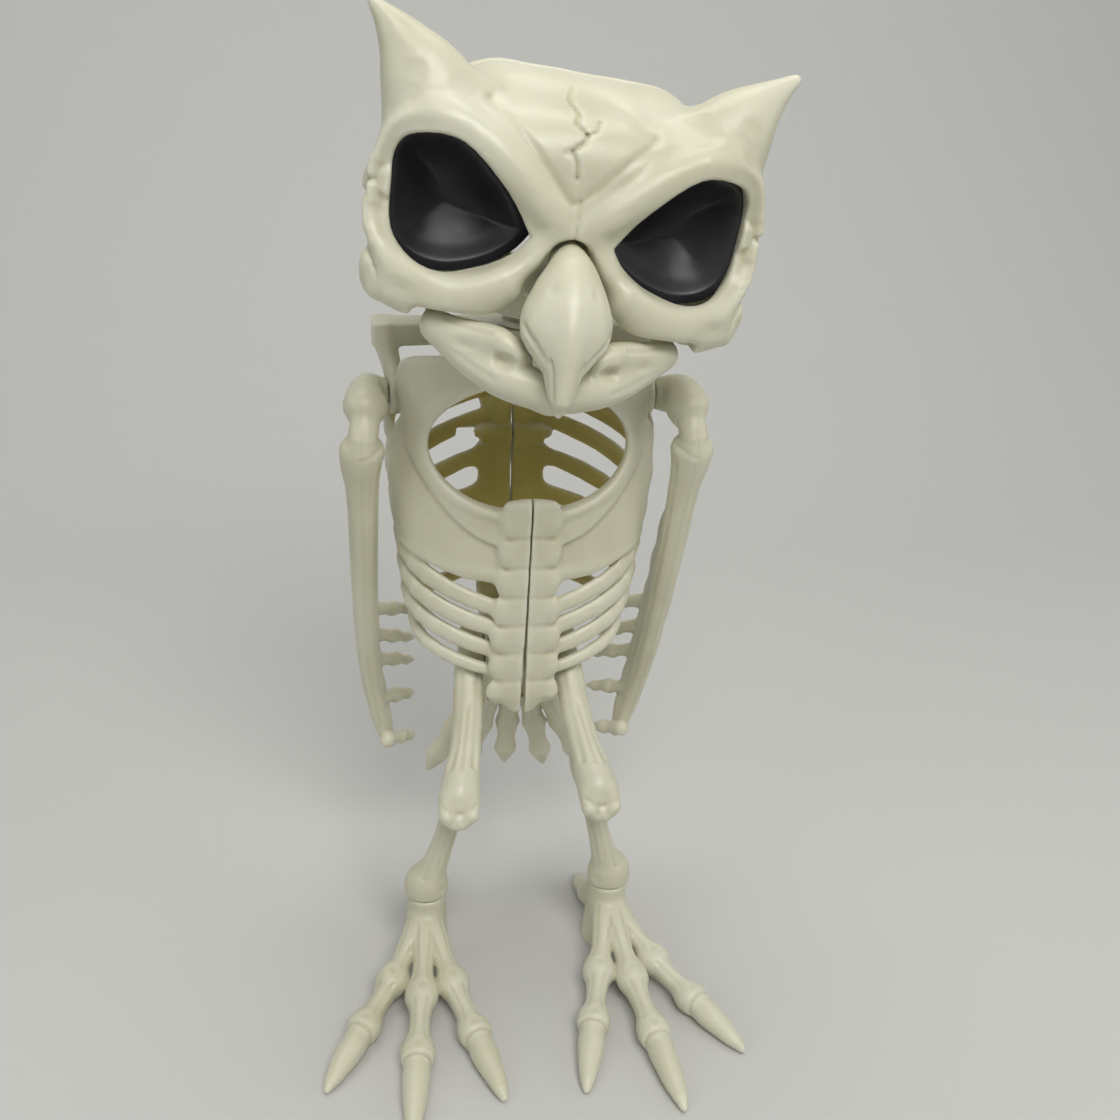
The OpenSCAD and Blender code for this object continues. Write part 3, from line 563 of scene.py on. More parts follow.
def ribcage():
    f = Field((-2, -20, 93), (50, 48, 222), 0.62)
    x, y, z = f.all()
    d = cage_distance(x, y, z)
    flat = outline(x, z, PLATE)
    hole = np.sqrt(((x / HOLE[1]) ** 2 + ((z - HOLE[0]) / HOLE[2]) ** 2)) - 1
    hole = hole * 22
    plate = np.abs(d + 1.3) - 1.3
    # the lower chest plate sits a little further out than the collar
    plate = smax(plate, flat, 2.0)
    plate = smax(plate, -hole, 1.6)
    plate = smax(plate, y - 8.5, 1.0)
    # collar: a raised flat band from the neck opening out to squared top corners
    collar = smax(smax(np.abs(d + 0.4) - 2.2, outline(x, z, smooth_line(np.array(COLLAR), 3)), 2.2), -hole, 2.6)
    collar = smax(collar, y - 9.5, 1.0)
    lip = np.hypot(hole - 1.6, d - 1.6) - 0.9
    collar = smin(collar, smax(lip, y - 9.5, 1.0), 2.4)
    f.f = np.broadcast_to(smin(plate, collar, 1.0), f.f.shape).astype(np.float32).copy()
    f.add([rib_field(r, 11, 173, high) for r, high in (([133, 155, 176], 7.0), ([125, 144.5, 162], 7.0),
                                                      ([116, 134, 148], 6.6), ([108, 122, 133], 5.2))], 1.0)
    f.add([rib_field(r, 68, 173) for r in ([150, 168, 190], [162, 180, 200], [174, 192, 209])], 1.6)
    # ridge where a chest rib leaves the plate
    f.add([rib_field(r, 14, 76, 3.0, 2.6) for r in ([149.5, 160, 190],)], 2.5)
    # sternum: one scalloped strip, shallowly waisted between its segments
    strip = []
    for k in range(29):
        t = k / 28
        zc = 174.6 - 77.4 * t
        wave = 0.5 + 0.5 * math.cos(2 * math.pi * (174.6 - zc - 5.2) / 11)
        w = (8.7 + 3.2 * t) * (0.9 + 0.1 * wave) * (1 if t < 0.93 else 1 - 2.6 * (t - 0.93) / 0.07 * 0.2)
        strip.append([0.2, -15.0 + 3.6 * t, zc, w, 2.4 + 0.45 * wave])
    f.add(Bone(strip, 1), 1.4)
    f.add(Slab((4, -13.2, 171.2), (4.6, 2.6, 4.2), 2.0), 2.0)
    for k in range(7):
        zc, w = 168.9 - 11 * k, 8.4 + 0.46 * k
        f.add(Ball((w - 1.6, -13.7 + 0.5 * k, zc), (2.5, 2.4, 3.6)), 2.2)
        f.press(Ball((w * 0.55, -17.8 + 0.55 * k, zc + 0.6), (3.6, 1.2, 3.4)), 0.3)
    for k in range(6):
        zc, w = 163.4 - 11 * k, 8.6 + 0.6 * k
        f.groove([[0.6, -17.3 + 0.5 * k, zc + 0.3], [w * 0.5, -17.0 + 0.5 * k, zc],
                  [w - 1, -15.4 + 0.5 * k, zc - 0.5]], 1.3, 0.5)
    spine = [[4, float(along(CAGE_B, v)) - 2.6, v, 4, 2.8] for v in range(100, 215, 16)]
    # room for the thigh behind the lower end of the sternum
    f.cut(Slab((16, -3.4, 100), (8, 6.4, 9), 1.0), 0.8)
    f.add(Bone(spine, 2), 1.2)
    f.add(Bone([[6, float(along(CAGE_B, v)) - 3.0, v, 6.2, 1.7] for v in (122, 136, 150, 165, 182)], 3), 1.6)
    f.add(Bone([[1, 37, 181, 3.6, 3.0], [9, 37.4, 181.5, 3.4, 2.8], [12.4, 37.6, 182, 3.0, 2.4]], 2, (0, 1, 0)), 1.2)
    for k in range(7):
        zc = 106 + 17 * k
        yc = float(along(CAGE_B, zc)) - 2.4
        f.add(Ball((3.5, yc, zc), (5.2, 3.6, 6.2)), 1.4)
        f.add(Bone([[4, yc, zc, 2.6, 2.4], [9.6, yc + 0.6, zc + 1.5, 2, 1.9]], 2), 1.6)
        f.add(Bone([[1.5, yc + 1, zc + 2, 1.6, 1.6], [1.8, yc + 4.4, zc - 3, 1.2, 1.2]], 2), 1.4)
    for by, bz in ((38, 181), (34.5, 141)):
        f.add(Rod((0, by, bz), (11.5, by, bz), 4.6, 4.0, 0.6), 0.8)
    f.add(Rod((7, 38, 198), (7, 38, 217.7), 4.2, edge=0.4), 1.0)
    f.cut(Slab((6, 18.15, 112), (7, 8.15, 9), 0.4))
    f.cut(Slab((5, 37.2, 112), (6, 6, 4.5), 0.4))
    f.cut(Rod((5, 60, 112), (5, 0, 112), 1.5))
    # scuffs and flow lines on the plate's shoulder
    for k in range(5):
        gz = 176.5 - 2.1 * k
        f.groove([[v, front_y(v, gz + 0.06 * (v - 30)), gz + 0.06 * (v - 30)] for v in np.linspace(33, 43 - k, 7)],
                 0.8, 0.22)
    f.ripple(17, 0.12, 3)
    gap = 0.25 + 0.55 * np.clip((168 - z) / 70, 0, 1) ** 2 * (y < 5)
    f.keep(gap - x)
    return f


# Painted shade weight for the rib cage: surfaces facing into the cage, more towards its back and fading in upward from
# z 105, are tinted a darker amber.
def cage_inner_shade(v, n):
    mid = (np.interp(v[:, 2], *CAGE_F) + np.interp(v[:, 2], *CAGE_B)) / 2
    out = np.stack([v[:, 0], v[:, 1] - mid], 1)
    out /= np.maximum(np.linalg.norm(out, axis=1), 1e-6)[:, None]
    facing = -(n[:, 0] * out[:, 0] + n[:, 1] * out[:, 1])
    deep = np.clip((v[:, 1] - 4) / 22, 0, 1)
    return np.clip(facing * 1.4, 0, 1) * (0.25 + 0.75 * deep) * np.clip((v[:, 2] - 105) / 30, 0, 1)


half = ribcage()
verts, quads = half.mesh()
piece("ribcage_left_moulding", relax(verts, quads), quads, "torso", "bone_plastic", ["ribcage_left"], inner_shade=cage_inner_shade)
for by, bz in ((38, 181), (34.5, 141)):
    half.cut([Rod((6.5, by, bz), (20, by, bz), 2.7), Rod((-1, by, bz), (20, by, bz), 1.5)], 0.1)
verts, quads = half.mesh()
piece("ribcage_right_moulding", relax(verts, quads), quads, "torso", "bone_plastic", ["ribcage_right"],
      mirrored=True, inner_shade=cage_inner_shade)


# ---- Shoulder yoke, pelvis and tail ----


def yoke():
    f = Field((-51, 8, 195), (51, 45, 227), 0.55)
    x, y, z = f.all()
    flat = outline(x, y, [[-50, 17], [-38, 18.5], [-15, 22], [-12, 10], [12, 10], [15, 22], [38, 18.5], [50, 17],
                          [50, 32], [38, 31], [13, 33], [12, 44], [-12, 44], [-13, 33], [-38, 31], [-50, 32]])
    f.f = smax(np.broadcast_to(flat, f.f.shape), np.abs(z - 222) - 4, 1.4).astype(np.float32)
    for s in (-1, 1):
        f.add(Bone([[46 * s, 24, 224, 3.8, 7.2], [45.5 * s, 22.5, 219, 3.8, 6.4], [43.6 * s, 19, 212, 3.2, 4.6],
                    [42.6 * s, 16, 206, 2.8, 5], [42.4 * s, 15, 203, 2.4, 4.5]], 3), 2.0)
        f.add(Rod((39.5 * s, 15, 203), (44.4 * s, 15, 203), 6.4, edge=0.4), 0.8)
        f.groove([[49 * s, 18, 226], [40 * s, 19.8, 226], [16 * s, 23, 226]], 0.9, 0.4)
        f.groove([[49 * s, 30.5, 226], [38 * s, 29.5, 226], [15 * s, 31, 226]], 0.9, 0.4)
    f.cut(Rod((0, 18, 216), (0, 18, 228), 5.05), 0.2)
    for s in (-7, 7):
        f.cut([Rod((s, 38, 216), (s, 38, 228), 1.3), Rod((s, 38, 223.8), (s, 38, 228), 2.7)], 0.1)
    for s in (-1, 1):
        f.cut([Rod((30 * s, 15, 203), (60 * s, 15, 203), 3.05), Rod((20 * s, 15, 203), (39.5 * s, 15, 203), 8)], 0.1)
    f.keep(z - 226, 0.6)
    f.keep(np.abs(x) - 50, 0.6)
    return f


def pelvis():
    f = Field((0, -5, 103), (13, 27, 121), 0.45)
    f.add(Slab((6.05, 12.5, 112), (5.8, 13.5, 8), 1.2), 0)
    f.add(Rod((0.25, 4, 112), (12.15, 4, 112), 8, edge=0.8), 0.8)
    f.cut([Rod((-1, 4, 112), (19, 4, 112), 3.05), Rod((-1, 4, 112), (7, 4, 112), 5.2)], 0.1)
    f.cut([Rod((5, 30, 112), (5, 14, 112), 1.3), Rod((6, 15, 102), (6, 15, 111), 1.3)], 0.1)
    for a in (3.5, 9):
        f.groove([[a, -4.2, 112], [a, -2.2, 117], [a, 4, 120], [a, 14, 120], [a, 26, 120]], 0.8, 0.4)
    return f


def tail():
    f = Field((-36, 6, 44), (36, 30, 105), 0.5)
    root_z = 103.9
    for tx, tz, lean in ((0, 49, 11), (15.5, 48, 10), (-15.5, 48, 10), (30.5, 49, 8), (-30.5, 49, 8)):
        root, tip = np.array([tx * 0.22, 14, root_z - 4]), np.array([tx, 14 + lean, tz])
        span = tip - root
        prof = [(0, 3.4), (0.2, 3.7), (0.4, 3.7), (0.5, 3.9), (0.57, 4.7), (0.63, 4.0), (0.72, 3.5), (0.79, 3.8),
                (0.84, 4.4), (0.88, 3.6), (0.94, 2.4), (1, 0.8)]
        f.add(Bone([list(root + span * s) + [r, r * 0.78] for s, r in prof], 2), 1.0)
        for face in (-0.78, 0.78):
            f.groove([list(root + span * s + [0, face * r, 0]) for s, r in ((0.1, 3.2), (0.3, 3.0), (0.5, 3.4))],
                     0.8, 0.45)
    f.add(Slab((0, 14.5, root_z - 3.5), (10, 4.9, 3.5), 0.7), 1.0)
    for s in (-6, 6):
        f.cut([Rod((s, 15, root_z - 12), (s, 15, root_z + 2), 1.3),
               Rod((s, 15, root_z - 20), (s, 15, root_z - 5), 2.7)], 0.1)
    return f


v, q = yoke().mesh()
piece("shoulder_yoke_moulding", relax(v, q), q, "torso", "bone_plastic", ["shoulder_yoke"])
v, q = pelvis().mesh()
v = relax(v, q, 1)
piece("pelvis_left_moulding", v, q, "torso", "bone_plastic", ["pelvis_left"])
piece("pelvis_right_moulding", v, q, "torso", "bone_plastic", ["pelvis_right"], mirrored=True)
v, q = tail().mesh()
piece("tail_fan_moulding", relax(v, q), q, "torso", "bone_plastic", ["tail_fan"])


# ---- Head, drawn with the bridge of the nose at the origin ----

EYE = [[12, 1], [20, 12], [33, 22.5], [45, 22.5], [49.6, 18], [50, 9], [48.8, -3], [43, -9.5], [34, -11.5], [24, -9],
       [16, -4]]
EYE_SMOOTH = smooth_line(np.array(EYE + [EYE[0]]), 4)[:-1]
BEAK = [[0, -1.5, -1, 2.6, 2.4], [0, -8, -7, 7, 7], [0, -12, -15, 11.5, 9.5], [0, -14.3, -20.3, 12.8, 9.4],
        [0, -16.6, -24.4, 9.6, 8.2], [0, -19.0, -28.8, 6.2, 6.6], [0, -21.8, -36, 3.8, 4.5],
        [0, -23.6, -41.5, 1.1, 1.3]]
BOLTS = [[-41, 6], [41, 6], [-24, 37], [24, 37]]


def brain_case(f, grow):
    """Braincase and face without their relief; grow is negative for the hollow."""
    for (px, py, pz), r in (((20, 30, 20.5), 23), ((34, 28, 8), 20.6), ((33, 14, 17), 18.6), ((34.2, 14, 8), 18),
                            ((35, 14, -2), 17),
                            ((20, 50, 14.5), 25.4), ((25, 49, -2), 21), ((9, 10, 21), 13), ((8, 8, 4), 9)):
        f.add(Bone([[-px, py, pz, r + grow, r + grow], [px, py, pz, r + grow, r + grow]], 1), 4)
    for s in (-1, 1):
        f.add(Bone([[36 * s, 8, -14, 12 + grow, 12 + grow], [34 * s, 30, -12, 13 + grow, 13 + grow]], 1), 4)
    return f


def skull():
    h = 0.64
    box = ((-66, -14, -36), (66, 82, 56))
    f = brain_case(Field(*box, h), 0)
    case = brain_case(Field(*box, h), -2.2)
    for s in (-1, 1):
        # ear with its hollow front
        f.add(Bone([[39 * s, 13, 27, 15.5, 11.5], [44 * s, 14, 35, 12, 9.4], [50 * s, 15, 42.6, 7.2, 6],
                    [55.6 * s, 15.8, 48.4, 3.6, 3.4], [59.4 * s, 16, 51.8, 1.7, 1.7]], 5), 6)
        # brow ridge and eye rim
        f.add(Bone([[3 * s, -2.2, 5, 4.4, 4.4], [9 * s, -3.2, 9.6, 4.8, 4.6], [15 * s, -3, 14.4, 4.6, 4.6],
                    [24 * s, -1.4, 21.5, 4.2, 4.4], [33 * s, 1.4, 27, 4, 4.4], [41 * s, 4, 29.4, 3.6, 4.2]], 3,
                   (0, 0.01, 1)), 3)
        f.add(Bone([[34 * s, 3.4, 27, 2.2, 4], [44 * s, 5, 27.4, 1.9, 4], [50.5 * s, 7, 23.6, 1.8, 4],
                    [53.6 * s, 8.4, 14, 1.9, 4], [53.4 * s, 8.4, 3, 2.0, 4.4], [51 * s, 5.4, -7, 2.8, 4.6],
                    [43 * s, 1.4, -13.6, 3.4, 4.8], [31 * s, -2.0, -16.2, 3.8, 5], [20 * s, -3.6, -12.5, 3.7, 4.6],
                    [11 * s, -2.8, -5, 3.2, 4], [6.5 * s, -1.5, 1.5, 3.2, 3.6]], 3, (0, 0.01, 1)), 3.4)
        # cheek, its lower edge and the tab at its outer corner
        f.add(Bone([[49.5 * s, 7, -14, 5.4, 7], [45 * s, 3, -17, 6.4, 7.6], [34 * s, -1.0, -18.6, 6.8, 7.4],
                    [24 * s, -3.6, -16.5, 5.4, 6.4], [17 * s, -5, -12.5, 3.8, 5]], 4, (0, 1, 0)), 4)
        f.add(Bone([[50 * s, 11, -18, 4.2, 6], [45 * s, 15, -19, 4, 6], [42 * s, 24, -17, 4, 6]], 3, (0, 1, 0)), 5)
        f.add(Ball((53.4 * s, 6.5, -13), (2.6, 3, 3.4)), 1.6)
        f.add(Ball((50.6 * s, 3.8, -19.8), (2.8, 2.6, 2.8)), 2.0)
        f.groove([[53.6 * s, 4.4, -10.4], [51.8 * s, 1.8, -13.6], [50.2 * s, 0.2, -17.4]], 1.2, 0.7)
        f.press(Ball((45 * s, -3.2, -17), (6, 5, 3.4)), 0.8)
        f.press(Ball((54.4 * s, 15, -5), (4, 7, 7)), 0.6)
        # hollows between brow ridge, ear and temple
        f.press(Ball((30 * s, 3.5, 36), (9, 8, 6)), 1.6)
        f.press(Ball((46 * s, 9, 37), (5, 5, 4.5)), 1.1)
        f.press(Ball((54 * s, 22, 22), (6, 8, 8)), 1.2)
        f.press(Ball((52 * s, 30, 30), (6, 10, 7)), 0.9)
        # suture behind the ear, over the side
        f.groove([[(33 - 2 * k + 1.4 * (k % 2)) * s, 40 + 5 * k, 45.5 - 0.5 * k * k + 1.2 * (k % 2)]
                  for k in range(7)], 1.3, 0.9)
        f.press(Ball((30 * s, 60, 30), (9, 9, 9)), 0.7)
    f.add(Bone([[0, -2.2, -0.5, 5.4, 3], [0, -1.4, 5, 6.4, 4.2], [0, 1, 12, 6, 5]], 2), 3)
    # forehead fan, set back from the ridges, with its zigzag crack
    x, y, z = f.all()
    front = np.clip((20 - y) / 8, 0, 1)
    for line, w, depth in (
            ([(-2.6, 12), (-9, 19), (-18, 27), (-27, 34)], 1.8, 0.6), ([(-1, 12), (6, 18.5), (12, 24.5), (19, 30.5)], 1.8, 0.6),
            ([(-27, 34), (-20, 38), (-8, 40.5), (6, 39), (19, 31)], 2.2, 0.5),
            ([(-3, 39.4), (-4.6, 36), (-2.6, 33.4), (-3.6, 31.4), (-0.4, 29), (-1.6, 27), (-4.2, 24.8), (-2.6, 22),
              (-2, 18)], 0.85, 1.3), ([(-0.4, 29), (2.4, 30.4), (3.2, 32.6)], 0.7, 0.8), ([(-4.2, 24.8), (-6.2, 24)], 0.7, 0.7),
            ([(0, 12.5), (0, 6), (0, 0)], 0.8, 0.55)):
        d = np.full((f.f.shape[0], 1, f.f.shape[2]), 1e9)
        for a, b in zip(line[:-1], line[1:]):
            e = np.subtract(b, a)
            t = np.clip(((x - a[0]) * e[0] + (z - a[1]) * e[1]) / (e @ e), 0, 1)
            d = np.minimum(d, np.hypot(x - a[0] - e[0] * t, z - a[1] - e[1] * t))
        f.f += (depth * np.clip(1 - d / w, 0, 1) ** 0.9 * front).astype(np.float32)
    # rear suture lines
    f.groove([[1.2 * (-1) ** k, 50 + 4.2 * k, 43.6 - 0.16 * k * k] for k in range(7)], 1.0, 0.9)
    f.groove([[-30 + 5 * k, 66 + 3 * math.cos((k - 6) * 0.5) + 0.9 * (-1) ** k, 30 + 1.4 * (-1) ** k]
              for k in range(13)], 1.2, 0.8)
    f.ripple(15, 0.22, 11)
    f.f = smax(f.f, -case.f, 0.8).astype(np.float32)
    # eye openings with rounded lips
    for s in (-1, 1):
        w = f.window((10 if s > 0 else -53, -14, -14), (53 if s > 0 else -10, 14, 26))
        xe, ye, ze = f.points(w)
        d = np.broadcast_to(outline(xe * s, ze, EYE_SMOOTH), f.f[w].shape)
        d = np.maximum(d, np.broadcast_to(ye - 11.5, f.f[w].shape))
        f.f[w] = smax(f.f[w], -d, 1.8)
        # a side wall behind the outer rim keeps the opening closed from the side
        f.add(Bone([[50.6 * s, 12.5, 22, 2.2, 4], [52.4 * s, 12.5, 14, 2.2, 4], [52.6 * s, 12.5, 3, 2.2, 4],
                    [50.4 * s, 12, -8, 2.4, 4]], 4, (0, 0.01, 1)), 1.6)
    f.cut(Bone(BEAK, 3, grow=1.5), 1.2)
    f.cut([Ball((0, -9, -14), (11, 11, 11)), Ball((0, 2, -14), (9.6, 12, 10))], 1.0)
    f.cut(Slab((0, 18.5, -30.5), (38.4, 13.5, 14.5), 2.4), 2.6)
    f.cut(Slab((0, -7, -36), (41, 13.6, 14.2), 1.6), 2.4)
    f.cut(Rod((0, 56.4, -38.5), (0, 56.4, -8.5), 14.4), 0.8)
    return f


def posts(f, y0, y1):
    for bx, bz in BOLTS:
        f.add(Rod((bx, y0, bz), (bx, y1, bz), 3.4, edge=0.3), 0.6)
    return f


whole = skull()
ys = whole.all()[1]
front = posts(whole.copy(), 21, 26.8)
for bx, bz in BOLTS:
    front.cut(Rod((bx, 22, bz), (bx, 30, bz), 1.4), 0.1)
front.keep(ys - 26.85, 0.5)
v, q = front.mesh()
piece("skull_front_moulding", relax(v, q), q, "head", "bone_plastic", ["skull_front"], head=True)
back = whole
for bx, bz in BOLTS:
    back.add(Rod((bx, 27.1, bz), (bx, 52 if bz > 20 else 42, bz), 3.4), 0.6)
outside = brain_case(Field((-66, -14, -36), (66, 82, 56), 0.64), 0.4)
back.keep(outside.f, 0.3)
for bx, bz in BOLTS:
    back.cut([Rod((bx, 26, bz), (bx, 90, bz), 1.4), Rod((bx, 33, bz), (bx, 90, bz), 2.7)], 0.2)
back.keep(27.15 - ys, 0.5)
v, q = back.mesh()
piece("skull_back_moulding", relax(v, q), q, "head", "bone_plastic", ["skull_back"], head=True)


def eye_bowl():
    f = Field((8, 5, -16), (55, 27, 27), 0.5)
    x, y, z = f.all()
    d = outline(x, z, EYE_SMOOTH)
    inside = np.maximum(-d - 0.5, 0)
    deep = 9.4 + 10.5 * (1 - np.exp(-(inside / 7.5) ** 1.3))
    # the low fold that runs from the nose side along the bowl's floor
    fold = (z + 1.5) - 0.010 * (x - 33) ** 2
    deep = deep - 1.1 * np.exp(-(fold / 4.5) ** 2) * np.clip(inside / 5, 0, 1)
    f.f = smax(np.abs(y - deep) * 0.72 - 0.7, np.broadcast_to(d - 2.2, f.f.shape), 0.5).astype(np.float32)
    case = brain_case(Field((8, 5, -16), (55, 27, 27), 0.5), -1.2)
    f.f = smax(f.f, case.f, 0.3).astype(np.float32)
    f.cut(Rod((41, 19, 6), (41, 30, 6), 3.9), 0.2)
    return f


v, q = eye_bowl().mesh()
v = relax(v, q)
piece("eye_liner_left_moulding", v, q, "head", "black_liner", ["eye_liner_left"], head=True)
piece("eye_liner_right_moulding", v, q, "head", "black_liner", ["eye_liner_right"], head=True, mirrored=True)


def beak():
    f = Field((-15, -28, -46), (15, 25, 4), 0.45)
    f.add(Bone(BEAK, 9), 0)
    # keel along the top of the bill
    f.add(Bone([[0, -6, -3.4, 1.6, 1.6], [0, -15.6, -9, 2.2, 2.0], [0, -21.8, -17, 2.4, 2.2], [0, -24.4, -24, 2.2, 2.0],
                [0, -25.4, -31, 1.7, 1.7], [0, -25.8, -37, 1.2, 1.2]], 3), 4.0)
    for s in (-1, 1):
        f.press(Ball((5.6 * s, -17, -10.5), (2.2, 2.6, 3.2)), 0.6)
        f.groove([[4.4 * s, -22.4, -24.5], [3.8 * s, -24.6, -30], [2.5 * s, -25.6, -36.6]], 1.0, 0.7)
        f.groove([[11.6 * s, -17.0, -20], [9.0 * s, -20.6, -23.6], [5.8 * s, -23.2, -28]], 1.4, 0.8)
    f.ripple(9, 0.1, 5)
    f.add(Bone([[-3, 0.5, -3.6, 3, 3], [3, 0.5, -3.6, 3, 3]], 1), 2)
    f.add(Rod((0, 24, -13), (0, -12, -13), 4, edge=0.2), 0.5)
    return f


v, q = beak().mesh()
piece("upper_beak_moulding", relax(v, q), q, "head", "bone_plastic", ["upper_beak"], head=True)


def jaw():
    f = Field((-41, -22, -49), (41, 30, -8), 0.5)
    for s in (-1, 1):
        f.add(Bone([[33.4 * s, 3, -28, 4.4, 4.4], [28 * s, -0.5, -31.4, 4.6, 4.8], [22 * s, -4, -34.6, 5, 5.2],
                    [12 * s, -9, -37.6, 5.6, 5.8], [0, -11.4, -39.4, 5.8, 6]], 4), 1.0)
        f.add(Bone([[33 * s, 1.6, -27, 3.8, 3.6], [25 * s, -3.4, -27.4, 3.8, 4.2], [17 * s, -7.4, -28, 3.8, 5],
                    [12 * s, -9, -30, 4, 5]], 4), 3)
        f.add(Bone([[31 * s, 4, -30, 3, 3], [22 * s, 0, -35, 4.4, 4.4], [12 * s, -4, -39.6, 4.6, 4.4],
                    [0, -6, -41.4, 4.6, 4.2]], 4), 4)
    for s in (-1, 1):
        f.cut(Bone([[31 * s, 8, -23, 4.4, 4.4], [22 * s, 3.6, -27, 5.2, 5.2], [13 * s, 0.4, -30, 6, 6],
                    [0, -3.6, -33, 6.4, 6.2]], 4), 2)
    f.cut(Ball((0, 2, -26), (20, 9, 7)), 2)
    for s in (-1, 1):
        f.press(Ball((15.2 * s, -12.6, -31.6), (3.6, 4.2, 2.8)), 2.0, 0.8)
        f.press(Ball((26 * s, -6.6, -29.6), (5, 3, 2.2)), 0.5)
        f.groove([[31 * s, -2.6, -24.4], [25 * s, -6.4, -25.2], [19 * s, -9.6, -25.4]], 1.0, 0.5)
        f.groove([[30 * s, -3.4, -31], [24 * s, -7.6, -34.4], [17 * s, -12, -37]], 1.4, 0.5)
        f.add(Bone([[34 * s, 3, -28, 3, 4], [33.5 * s, 12, -22, 2.4, 3.4], [32 * s, 20, -16.5, 2.2, 3.4],
                    [31.5 * s, 24, -14, 1.8, 3.2]], 3), 1.6)
        f.add(Rod((29.3 * s, 24, -14), (33.7 * s, 24, -14), 4, edge=0.4), 0.6)
    f.cut(Bone(BEAK, 5, grow=1.3), 0.8)
    f.ripple(12, 0.14, 8)
    f.trim((-41, -22, -30), (41, 5.5, -8), 2, 1, -22.9, 1.4)
    f.cut(Rod((-60, 24, -14), (60, 24, -14), 1.55), 0.1)
    return f


v, q = jaw().mesh()
piece("lower_jaw_moulding", relax(v, q), q, "jaw", "bone_plastic", ["lower_jaw"], head=True)


# ---- Wing ----


def wing():
    f = Field((33, -18, 52), (63, 42, 214), 0.55)
    f.add(Bone([[54, -7, 191, 7.2, 6.4], [54.4, -5, 185, 6.4, 6.3], [54, -2, 174, 5.2, 5.2], [53.8, 3, 154, 4.8, 4.6],
                [53.5, 11, 128, 4.4, 4.2], [52.5, 18, 103, 4, 3.8], [50.5, 22.5, 84, 3.4, 3.4], [47.5, 25, 68, 2.8, 3],
                [44.5, 26, 60, 2, 2.2]], 3), 0)
    # knuckle: a ball at the shoulder, rolling over into the lobe that hangs down the front
    f.add(Bone([[47.4, 15, 203, 5.4, 5.4], [49.6, 14, 203.4, 6, 6.2], [52, 9, 204.6, 5.2, 7.2], [52.6, 3, 205, 5.6, 7.6],
                [53, -2.4, 203, 6, 7.2]], 3, (0.6, 0.6, 0)), 1.0)
    f.add(Ball((52.6, -1.2, 204), (7.0, 7.4, 6.8)), 1.4)
    f.add(Bone([[53, -5.6, 201, 5.0, 4.4], [53.8, -9.2, 195.6, 4.6, 4.0], [54, -10.4, 190.5, 3.4, 2.6]], 3), 1.0)
    strip = []
    for k in range(0, 15):
        z = 162 - 7 * k
        y = float(np.interp(z, [65, 82, 100, 122, 140, 162], [28, 28, 24.5, 18, 12.5, 6]))
        w = 1.9 + 0.5 * (k % 2)
        d = float(np.interp(z, [65, 82, 140, 162], [2.8, 3.8, 4, 2.8])) + 0.5 * (k % 2)
        x = float(np.interp(z, [65, 82, 100, 122, 162], [45.3, 48, 50, 51, 52]))
        strip.append([x, y, z, w, d])
    f.add(Bone(strip, 3), 1.0)
    for fz, fy, tz in ((120, 22, 113), (108, 25, 99), (96, 27.5, 88), (80, 26, 74), (64, 22, 57)):
        root = np.array([float(np.interp(fz, [60, 84, 120], [45, 49.5, 51])), fy, fz])
        tip = np.array([max(root[0] - 16, 34.8), root[1] + 13, tz])
        span = tip - root
        f.add(Bone([list(root + span * t + [0, 0.5 * math.sin(math.pi * t), 0]) + [w, w * 0.95] for t, w in
                    ((0, 3.2), (0.2, 2.5), (0.34, 2.3), (0.46, 3.0), (0.54, 2.6), (0.64, 2.0), (0.74, 2.0), (0.8, 2.3),
                     (0.86, 1.7), (0.94, 1.1), (1, 0.6))], 2, (0, 0, 1)), 1.0)
    # edges and hollows of the long bone
    line = smooth_line([[54, -7, 191, 6.4], [54, -2, 174, 5.2], [53.8, 3, 154, 4.6], [53.5, 11, 128, 4.2],
                        [52.5, 18, 103, 3.8], [50.5, 22.5, 84, 3.4], [48, 25, 70, 3]], 3)
    f.groove([[p[0], p[1] - p[3], p[2]] for p in line[1:]], 0.7, 0.42)
    f.groove([[p[0] - p[3] * 0.86, p[1] - p[3] * 0.5, p[2]] for p in line[1:-3]], 1.2, 0.5)
    f.groove([[p[0] + p[3] * 0.86, p[1] - p[3] * 0.5, p[2]] for p in line[2:-3]], 1.2, 0.35)
    f.groove([[53, -9.8, 204.6], [54, -13.2, 196], [54.2, -13.2, 190]], 0.6, 0.45)
    f.groove([[46.8, -7, 194], [49.6, -11.6, 192.2], [54, -13, 189.6], [58.6, -10.6, 191.6], [61, -6, 194]], 1.0, 0.55)
    f.press(Ball((59.4, -4.6, 200), (3, 4.2, 3.6)), 0.9)
    f.press(Ball((47.6, -4, 199.4), (2.6, 4, 3.4)), 0.8)
    f.ripple(12, 0.16, 21)
    f.cut(Rod((39, 15, 203), (51.7, 15, 203), 3.1), 0.1)
    f.trim((40, 6, 190), (46, 26, 214), 0, -1, 45.0, 0.3)
    return f


v, q = wing().mesh()
v = relax(v, q)
piece("wing_left_moulding", v, q, "wing_left_arm", "bone_plastic", ["wing_left"])
piece("wing_right_moulding", v, q, "wing_right_arm", "bone_plastic", ["wing_right"], mirrored=True)


# ---- Leg ----


